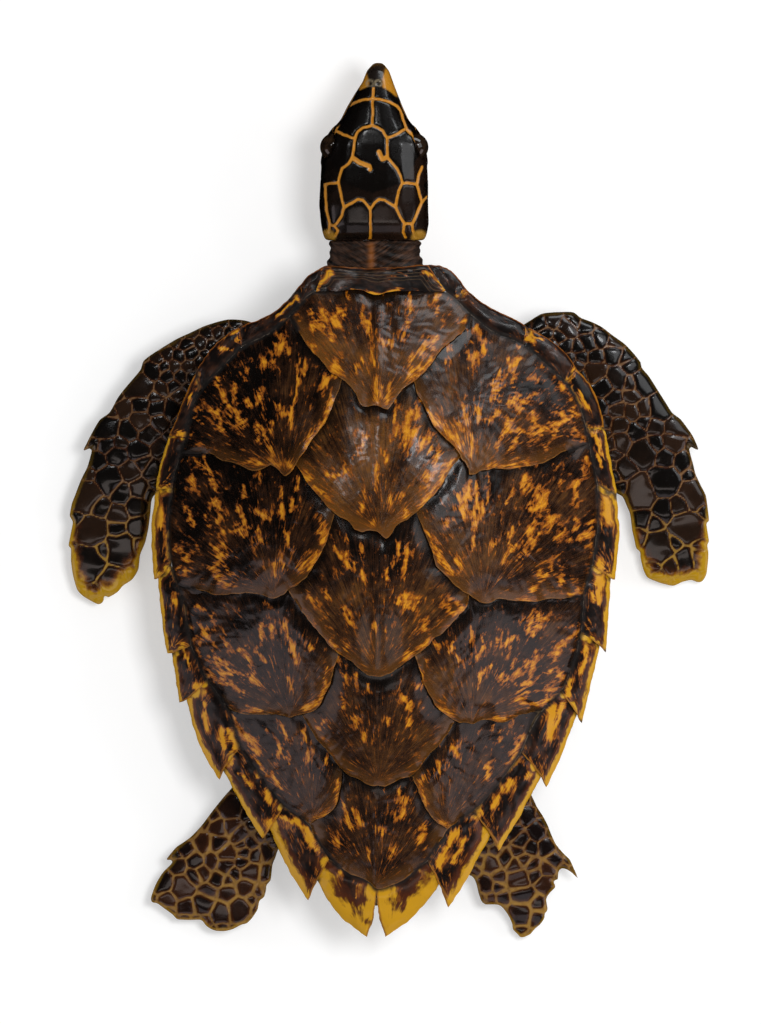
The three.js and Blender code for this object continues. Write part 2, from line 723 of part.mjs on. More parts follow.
const bodySpace = solidOf(bodyGeometry(2 * pieceGap)).add(tail);
const neck = solidOf(skinRound(neckSections, 20, 2.3)).subtract(bodySpace);
addPiece("neck", geometryOf(neck), skin);

const flippers = {
  front_flipper_left: [frontFlipperLeft, [46, 12], [32, 5]],
  front_flipper_right: [frontFlipperRight, [46, 12], [32, 5]],
  hind_flipper_left: [hindFlipperLeft, [40, 9], [28, 4]],
  hind_flipper_right: [hindFlipperRight, [40, 9], [28, 4]],
};
for (const [name, [pairs, heights, thicknesses]] of Object.entries(flippers)) {
  const blade = solidOf(flipperGeometry(pairs, heights, thicknesses)).subtract(bodySpace);
  addPiece(name, geometryOf(blade), flipperScales);
}

export default turtle;
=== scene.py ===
import math

import bpy
import numpy as np
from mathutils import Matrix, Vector


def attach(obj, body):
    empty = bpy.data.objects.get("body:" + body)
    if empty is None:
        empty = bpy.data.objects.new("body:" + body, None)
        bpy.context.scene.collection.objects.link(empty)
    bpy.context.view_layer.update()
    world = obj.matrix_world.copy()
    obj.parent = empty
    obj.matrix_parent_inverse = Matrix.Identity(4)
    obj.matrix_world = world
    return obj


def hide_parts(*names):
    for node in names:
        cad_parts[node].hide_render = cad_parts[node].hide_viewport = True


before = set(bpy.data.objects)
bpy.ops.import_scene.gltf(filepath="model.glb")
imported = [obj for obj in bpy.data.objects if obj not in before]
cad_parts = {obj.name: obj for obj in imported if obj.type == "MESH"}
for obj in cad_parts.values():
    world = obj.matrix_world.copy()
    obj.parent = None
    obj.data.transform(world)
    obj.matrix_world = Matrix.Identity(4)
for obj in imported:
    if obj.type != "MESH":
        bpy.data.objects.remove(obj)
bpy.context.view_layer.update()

mm = 0.001
farAway = 99.0
rng = np.random.default_rng(7)


# small helpers for objects
def chooseOnly(obj):
    for other in list(bpy.context.selected_objects):
        other.select_set(False)
    obj.select_set(True)
    bpy.context.view_layer.objects.active = obj


cleanUp = {"weld": 0.02, "quadFace": 40, "quadShape": 60}


def copyNode(node, name):
    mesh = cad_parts[node].data.copy()
    mesh.name = name
    mesh.materials.clear()
    obj = bpy.data.objects.new(name, mesh)
    bpy.context.scene.collection.objects.link(obj)
    chooseOnly(obj)
    bpy.ops.object.mode_set(mode="EDIT")
    bpy.ops.mesh.select_all(action="SELECT")
    bpy.ops.mesh.remove_doubles(threshold=cleanUp["weld"] * mm)
    bpy.ops.mesh.tris_convert_to_quads(face_threshold=math.radians(cleanUp["quadFace"]),
                                       shape_threshold=math.radians(cleanUp["quadShape"]))
    bpy.ops.mesh.normals_make_consistent(inside=False)
    bpy.ops.mesh.customdata_custom_splitnormals_clear()
    bpy.ops.object.mode_set(mode="OBJECT")
    return obj


def creaseSharpEdges(obj, angle):
    chooseOnly(obj)
    bpy.ops.object.mode_set(mode="EDIT")
    bpy.ops.mesh.select_mode(type="EDGE")
    bpy.ops.mesh.select_all(action="DESELECT")
    bpy.ops.mesh.edges_select_sharp(sharpness=math.radians(angle))
    bpy.ops.transform.edge_crease(value=1.0)
    bpy.ops.object.mode_set(mode="OBJECT")


def subdivide(obj, levels):
    chooseOnly(obj)
    modifier = obj.modifiers.new("smooth", "SUBSURF")
    modifier.levels = levels
    modifier.render_levels = levels
    bpy.ops.object.modifier_apply(modifier=modifier.name)


def readPoints(obj):
    flat = np.empty(len(obj.data.vertices) * 3)
    obj.data.vertices.foreach_get("co", flat)
    return flat.reshape(-1, 3) / mm


def readNormals(obj):
    flat = np.empty(len(obj.data.vertices) * 3)
    obj.data.vertices.foreach_get("normal", flat)
    return flat.reshape(-1, 3)


def readEdges(obj):
    ends = np.empty(len(obj.data.edges) * 2, dtype=int)
    obj.data.edges.foreach_get("vertices", ends)
    return ends.reshape(-1, 2)


def writePoints(obj, points):
    obj.data.vertices.foreach_set("co", (points * mm).ravel())
    obj.data.update()


def writeValue(obj, name, values):
    layer = obj.data.attributes.get(name) or obj.data.attributes.new(name, "FLOAT", "POINT")
    layer.data.foreach_set("value", np.asarray(values, dtype=float))


def readValue(obj, name):
    values = np.empty(len(obj.data.vertices))
    obj.data.attributes[name].data.foreach_get("value", values)
    return values


def writeVector(obj, name, first, second, third):
    layer = obj.data.attributes.get(name) or obj.data.attributes.new(name, "FLOAT_VECTOR", "POINT")
    layer.data.foreach_set("vector", np.stack([first, second, third], axis=1).ravel())


def finishPiece(obj, node, material, angle):
    obj.data.materials.clear()
    obj.data.materials.append(material)
    chooseOnly(obj)
    bpy.ops.object.shade_smooth_by_angle(angle=math.radians(angle))
    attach(obj, "root")
    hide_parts(node)


# numbers over a surface
def smoothStep(low, high, value):
    share = np.clip((value - low) / (high - low), 0, 1)
    return share * share * (3 - 2 * share)


def lattice(ix, iy, iz, seed):
    mixed = (ix * 374761393 + iy * 668265263 + iz * 2147483647 + seed * 1274126177) & 0xFFFFFFFF
    mixed = ((mixed ^ (mixed >> 13)) * 1274126177) & 0xFFFFFFFF
    return ((mixed ^ (mixed >> 16)) & 0xFFFF) / 32767.5 - 1


def ripple(points, size, seed):
    scaled = points / size
    cell = np.floor(scaled).astype(np.int64)
    part = scaled - cell
    part = part * part * (3 - 2 * part)
    total = np.zeros(len(points))
    for dx in (0, 1):
        for dy in (0, 1):
            for dz in (0, 1):
                weight = ((part[:, 0] if dx else 1 - part[:, 0])
                          * (part[:, 1] if dy else 1 - part[:, 1])
                          * (part[:, 2] if dz else 1 - part[:, 2]))
                total += weight * lattice(cell[:, 0] + dx, cell[:, 1] + dy, cell[:, 2] + dz, seed)
    return total


def wobble(points, size, amount, seed, axes=2):
    shifts = [amount * ripple(points, size, seed + axis) for axis in range(axes)]
    return points[:, :axes] + np.stack(shifts, axis=1)


def segmentsOf(lines):
    starts = [line[index] for line in lines for index in range(len(line) - 1)]
    ends = [line[index + 1] for line in lines for index in range(len(line) - 1)]
    return np.array(starts, dtype=float), np.array(ends, dtype=float)


def hill(gap, width):
    return np.exp(-(gap / width) ** 2)


def segmentDistance(points, starts, ends, block=4000):
    nearest = np.full(len(points), 1e6)
    if len(starts) == 0:
        return nearest
    along = ends - starts
    lengthSquared = np.maximum((along ** 2).sum(axis=1), 1e-9)
    for first in range(0, len(points), block):
        part = points[first:first + block, None, :] - starts[None, :, :]
        share = np.clip((part * along[None]).sum(axis=2) / lengthSquared, 0, 1)
        gap = part - share[:, :, None] * along[None]
        nearest[first:first + block] = np.sqrt((gap ** 2).sum(axis=2)).min(axis=1)
    return nearest


# shader maths
class Wire:
    def __init__(self, tree, socket):
        self.tree = tree
        self.socket = socket

    def math(self, operation, other=None, swap=False):
        inputs = [self] if other is None else ([other, self] if swap else [self, other])
        return self.tree.node("ShaderNodeMath", {"operation": operation}, dict(enumerate(inputs)))

    def __add__(self, other):
        return self.math("ADD", other)

    __radd__ = __add__

    def __sub__(self, other):
        return self.math("SUBTRACT", other)

    def __rsub__(self, other):
        return self.math("SUBTRACT", other, swap=True)

    def __mul__(self, other):
        return self.math("MULTIPLY", other)

    __rmul__ = __mul__

    def __truediv__(self, other):
        return self.math("DIVIDE", other)

    def clamped(self, low=0.0, high=1.0):
        return self.tree.node("ShaderNodeClamp", {}, {"Value": self, "Min": low, "Max": high})

    def between(self, low, high):
        return self.tree.node("ShaderNodeMapRange", {"interpolation_type": "SMOOTHSTEP"},
                              {"Value": self, "From Min": low, "From Max": high})


class Finish:
    def __init__(self, name):
        self.material = bpy.data.materials.new(name)
        self.material.use_nodes = True
        self.nodes = self.material.node_tree.nodes
        self.links = self.material.node_tree.links
        self.nodes.clear()

    def node(self, kind, settings, inputs, output=0):
        made = self.nodes.new(kind)
        for key, value in settings.items():
            if key == "stops":
                ramp = made.color_ramp
                while len(ramp.elements) < len(value):
                    ramp.elements.new(0.5)
                for element, (place, colour) in zip(ramp.elements, value):
                    element.position = place
                    element.color = (*colour, 1)
            else:
                setattr(made, key, value)
        for key, value in inputs.items():
            socket = made.inputs[key]
            if isinstance(value, Wire):
                self.links.new(value.socket, socket)
            elif hasattr(socket, "default_value"):
                isColour = socket.type == "RGBA" and len(value) == 3
                socket.default_value = (*value, 1) if isColour else value
        return Wire(self, made.outputs[output]) if len(made.outputs) else None

    def attribute(self, name):
        made = self.node("ShaderNodeAttribute", {"attribute_name": name}, {}, "Vector")
        parts = self.nodes.new("ShaderNodeSeparateXYZ")
        self.links.new(made.socket, parts.inputs[0])
        return [Wire(self, parts.outputs[index]) for index in range(3)]

    def value(self, name):
        return self.node("ShaderNodeAttribute", {"attribute_name": name}, {}, "Fac")

    def place(self):
        return self.node("ShaderNodeTexCoord", {}, {}, "Object")

    def join(self, x, y, z):
        return self.node("ShaderNodeCombineXYZ", {}, {0: x, 1: y, 2: z})

    def noise(self, vector, scale, detail=2.0, roughness=0.5, distortion=0.0):
        return self.node("ShaderNodeTexNoise", {}, {
            "Vector": vector, "Scale": scale, "Detail": detail,
            "Roughness": roughness, "Distortion": distortion})

    def ramp(self, value, stops):
        return self.node("ShaderNodeValToRGB", {"stops": stops}, {0: value})

    def blend(self, share, first, second):
        return self.node("ShaderNodeMix", {"data_type": "RGBA"}, {0: share, 6: first, 7: second}, 2)

    def bump(self, height, strength, distance):
        return self.node("ShaderNodeBump", {}, {
            "Height": height, "Strength": strength, "Distance": distance})

    def output(self, colour, roughness, normal, fixed):
        shader = self.node("ShaderNodeBsdfPrincipled", {}, {
            "Base Color": colour, "Roughness": roughness, **fixed})
        if normal is not None:
            self.links.new(normal.socket, shader.socket.node.inputs["Normal"])
        self.node("ShaderNodeOutputMaterial", {}, {"Surface": shader})
        return self.material


# the shell's dome
dome = {
    "centre": (0.0, 40.0), "rise": 108.0, "fall": 1.35, "furthest": 1.1, "steps": 16,
    "sideRim": 56.0, "frontRise": 30.0, "frontPart": (60, 252), "rearRise": 5.0, "rearPart": (-280, -120),
    "tips": [
        (-57, 243), (-101, 206.5), (-138, 178.5), (-162, 127), (-177, 82), (-179, 0), (-169, -58),
        (-159, -99), (-127, -160), (-92, -207), (-56, -256), (-9, -285), (6, -285), (56, -262),
        (96.5, -216.5), (134.5, -166), (163, -114.5), (182.5, -58), (189.5, 0), (191, 72),
        (179.5, 133), (153, 179), (111, 209), (60, 247.5)],
}


def rimTable():
    tips = np.array(dome["tips"], dtype=float)
    count = len(tips)
    line = []
    for index in range(count):
        before, start, end, after = (tips[(index + shift) % count] for shift in (-1, 0, 1, 2))
        for share in np.linspace(0, 1, dome["steps"], endpoint=False):
            line.append(0.5 * (2 * start + (end - before) * share
                               + (2 * before - 5 * start + 4 * end - after) * share ** 2
                               + (3 * start - before - 3 * end + after) * share ** 3))
    offset = np.array(line) - np.array(dome["centre"])
    angle = np.arctan2(offset[:, 1], offset[:, 0])
    order = np.argsort(angle)
    return angle[order], np.hypot(offset[:, 0], offset[:, 1])[order]


rimAngles, rimRadii = rimTable()


def rimShare(x, y):
    alongX = x - dome["centre"][0]
    alongY = y - dome["centre"][1]
    angle = np.arctan2(alongY, alongX)
    return np.hypot(alongX, alongY) / np.interp(angle, rimAngles, rimRadii, period=2 * math.pi)


def domeHeight(x, y):
    share = np.minimum(rimShare(x, y), dome["furthest"])
    rim = dome["sideRim"] + dome["frontRise"] * smoothStep(*dome["frontPart"], y)
    rim = rim + dome["rearRise"] * (1 - smoothStep(*dome["rearPart"], y))
    return rim + dome["rise"] * (1 - dome["fall"] * share ** 2 + (dome["fall"] - 1) * share ** 6)


# seams as they really run
seamLines = [
    [(-50, 230), (-30, 230), (-25, 231), (-18, 232), (-12, 231.5), (-8, 228.5), (0, 227), (8, 229),
     (15, 231), (25, 230.5), (52, 230)],
    [(-68.5, 204.3), (-63.7, 199.5), (-60.8, 194.7), (-56.9, 187.9), (-52, 182), (-47.2, 177.2),
     (-41.4, 170.4), (-38.5, 165.6), (-28.8, 162), (-25, 157.8), (-19, 151), (-13.8, 140.4),
     (-10.4, 137), (-1.2, 141), (2, 138), (7, 135.5), (11.9, 142.3), (14.8, 147), (20.6, 154),
     (29.4, 159.3), (37, 165.6), (44, 175), (49.5, 183), (55, 188.5), (62, 194), (68, 201), (77, 206)],
    [(-28.8, 160.5), (-31.2, 151.6), (-34.6, 143.8), (-38.5, 134), (-42.3, 125.4), (-47.2, 118.6),
     (-52.5, 112.8), (-55.9, 106), (-59.8, 100.7), (-62.2, 98.3), (-63.7, 94.4), (-66, 91)],
    [(29.4, 158.8), (31.3, 148.6), (37.6, 139), (40, 132.2), (43.9, 123.5), (49.7, 116.7),
     (57.5, 109.9), (62.3, 104), (67.2, 99.2)],
    [(-150, 110), (-141.6, 109.4), (-136.5, 105.9), (-132.4, 102.8), (-129.4, 98.7), (-125.3, 95.7),
     (-119, 95.2), (-113, 92.6), (-107, 91), (-101.8, 88), (-94.7, 88), (-89.6, 90.6), (-84.5, 92.6),
     (-80.4, 89), (-76.3, 84.4), (-72.2, 81.9), (-70.7, 84.4), (-69.2, 87.5), (-66, 91)],
    [(67.2, 99.2), (70.8, 92.6), (72.9, 85.5), (74.4, 80.9), (77.5, 81.9), (79.5, 87), (82.6, 88),
     (87.7, 88), (90.7, 89.8), (98.9, 89), (109, 89), (119.3, 91), (129.5, 93), (135.6, 95.7),
     (141.8, 98.7), (146.9, 102.8), (151, 105.4), (156, 107.4)],
    [(-64.2, 90.5), (-60.8, 85.7), (-56.9, 77.9), (-51, 71.1), (-45.3, 65.3), (-39.4, 57.6),
     (-34, 52.7), (-29.7, 50.3), (-23.9, 48.4), (-21, 44), (-17.2, 38.2), (-14.2, 37.2), (-8.4, 40.1),
     (-3.6, 40.5), (1.3, 37.5), (5.3, 33.4), (9.5, 34), (11.5, 40.1), (16.8, 45.9), (22.6, 47.9),
     (30.3, 53.7), (38, 62.4), (45.8, 69.2), (51.6, 77.9), (56.5, 86.6), (61.3, 93.4), (67.2, 99.2)],
    [(-34, 52.7), (-36.5, 46.9), (-39, 39.2), (-40.9, 31.9), (-45.2, 21.2), (-49.5, 14.8),
     (-53.2, 8.9), (-55.4, 3), (-61.8, -0.8), (-64.5, -4.5), (-70.9, -6.1), (-72, -9.9)],
    [(30.3, 53.7), (34, 46.9), (37.2, 38), (41.6, 27.6), (44.8, 15.9), (47, 10.5), (54.4, 4.1),
     (60.9, -3.4), (68.4, -9.9), (72.5, -12)],
    [(-151.8, -8.9), (-147.8, -6.9), (-143.7, -9.9), (-141.6, -7.9), (-134.5, -9.4), (-131.4, -12),
     (-121, -11.5), (-111, -10.4), (-101.8, -9.9), (-97.8, -11.5), (-92.7, -9.9), (-88.6, -13),
     (-82.4, -15.6), (-79.4, -13), (-73.3, -9.9)],
    [(71.4, -10.4), (76.5, -14.5), (82.6, -17.6), (87.7, -18), (91.8, -16.6), (94.8, -14), (99.9, -14.5),
     (109, -16), (119.3, -17), (126.5, -17.6), (131.6, -15.6), (138.7, -14.5), (146.9, -14.5),
     (151, -12), (156, -12.5)],
    [(-70.4, -9.3), (-64.5, -18.4), (-58, -28), (-50.5, -37.7), (-43, -45.2), (-39.8, -50.6),
     (-32, -58.5), (-21, -64), (-13, -72), (-7.2, -76), (2.5, -76.6), (10.5, -73.6), (19.4, -67),
     (29.5, -60.4), (40.5, -50.8), (43.2, -46.3), (50.2, -43), (57.7, -35.6), (62, -30.2),
     (69.5, -22.7), (72.7, -14.1)],
    [(-32, -60), (-35.3, -70), (-37, -79.7), (-41.9, -89), (-46.5, -99.6), (-50.5, -103.6),
     (-58.5, -106.2)],
    [(30.4, -61.5), (34.5, -73), (35.7, -79.7), (41, -90.3), (46.3, -100.3), (51.6, -105), (60, -112)],
    [(-118, -103.5), (-113, -105.4), (-104.6, -107.2), (-98.5, -106.6), (-91, -107.2), (-83.8, -106.6),
     (-76.5, -107.2), (-70.4, -109.6), (-66.7, -108.4), (-58.5, -106.4)],
    [(60, -112), (64, -114), (70, -113), (75.7, -115), (81, -111.5), (89.8, -110.9), (96, -114.5),
     (103.3, -112.7), (109.4, -109), (115.5, -106.6), (121.6, -104.7), (126.5, -107.2)],
    [(-58.5, -110.9), (-53.1, -119.5), (-48.5, -127.5), (-41.2, -134.8), (-35.2, -142), (-30.6, -150),
     (-25.3, -154.7), (-14.7, -158.6), (-8, -163.3), (0, -164), (5.2, -164.4), (13.2, -160.6),
     (20.5, -157.3), (27.1, -156.7), (33.1, -150), (39.7, -140), (49, -131.5), (55.6, -122.2),
     (60.9, -112.9)],
    [(-28.6, -156), (-29.9, -164.6), (-33.3, -179.2), (-38.6, -185.8), (-45.2, -189.8),
     (-51.8, -191.8), (-55.8, -191.5)],
    [(27.8, -156.7), (33.1, -169.9), (37.1, -179.2), (42.4, -188.5), (49, -194.5), (55.6, -197.8)],
    [(-55.8, -191.8), (-49.2, -207), (-38.6, -221.7), (-29.3, -229.6), (-20, -235), (-10.7, -238.3),
     (-4.1, -243), (-1.4, -246.9), (5.2, -245.5), (14.5, -242.2), (22.4, -237.6), (31.7, -229.6),
     (39.7, -223), (49, -208.4), (55.6, -199)],
]

seamStarts, seamEnds = segmentsOf(seamLines)


seamPull = {"margin": 16, "rounds": ((7.0, 6.0), (4.0, 2.4)), "hold": 0.03}


def toSeams(flat, furthest):
    part = flat[:, None, :] - seamStarts[None]
    along = (seamEnds - seamStarts)[None]
    share = np.clip((part * along).sum(axis=2) / (along ** 2).sum(axis=2), 0, 1)
    gap = share[:, :, None] * along - part
    length = np.linalg.norm(gap, axis=2)
    nearest = length.argmin(axis=1)
    rows = np.arange(len(flat))
    return np.where((length[rows, nearest] < furthest)[:, None], gap[rows, nearest], 0)


def follow(flat, samples, shifts, reach, block=3000):
    moved = np.zeros_like(flat)
    for first in range(0, len(flat), block):
        part = flat[first:first + block]
        away = ((part[:, None, :] - samples[None]) ** 2).sum(axis=2)
        weight = np.exp(-away / reach ** 2)
        moved[first:first + block] = (weight @ shifts) / (weight.sum(axis=1) + seamPull["hold"])[:, None]
    return flat + moved


def seamShift(flat, samples):
    low, high = flat.min(axis=0) - seamPull["margin"], flat.max(axis=0) + seamPull["margin"]
    near = samples[((samples > low) & (samples < high)).all(axis=1)]
    if len(near) == 0:
        return flat
    for furthest, reach in seamPull["rounds"]:
        shifts = toSeams(near, furthest)
        flat, near = follow(flat, near, shifts, reach), follow(near, near, shifts, reach)
    return flat


# the horn scutes on the dome
scute = {
    "lift": 2.4, "thickFront": 2.2, "thickRear": 4.4, "under": 0.2, "levels": 3, "crease": 50,
    "upward": 0.3, "touch": 0.4, "waver": ((5.5, 0.45), (2.6, 0.3)),
    "frontDip": 1.7, "frontDipWidth": 7.0, "edgeRound": 0.9, "edgeRoundWidth": 1.6,
    "sulcusDip": 1.6, "sulcusWidth": 4.0, "sulcusShare": 0.83, "sulcusSide": 30,
    "facing": 0.1, "seamShare": 0.80, "endWidth": 50, "endMiddle": 10, "endReach": 205,
    "ridge": 0.05, "ridgeSpacing": 7.0, "ridgeReach": 60, "ridgeBend": (6, 18), "uneven": (0.6, 24),
    "keel": 1.1, "keelWidth": 5.0,
}


def waver(points):
    moved = points.copy()
    flat = points * (1, 1, 0)
    for index, (size, amount) in enumerate(scute["waver"]):
        moved[:, 0] += amount * ripple(flat, size, 11 + index)
        moved[:, 1] += amount * ripple(flat, size, 31 + index)
    return moved


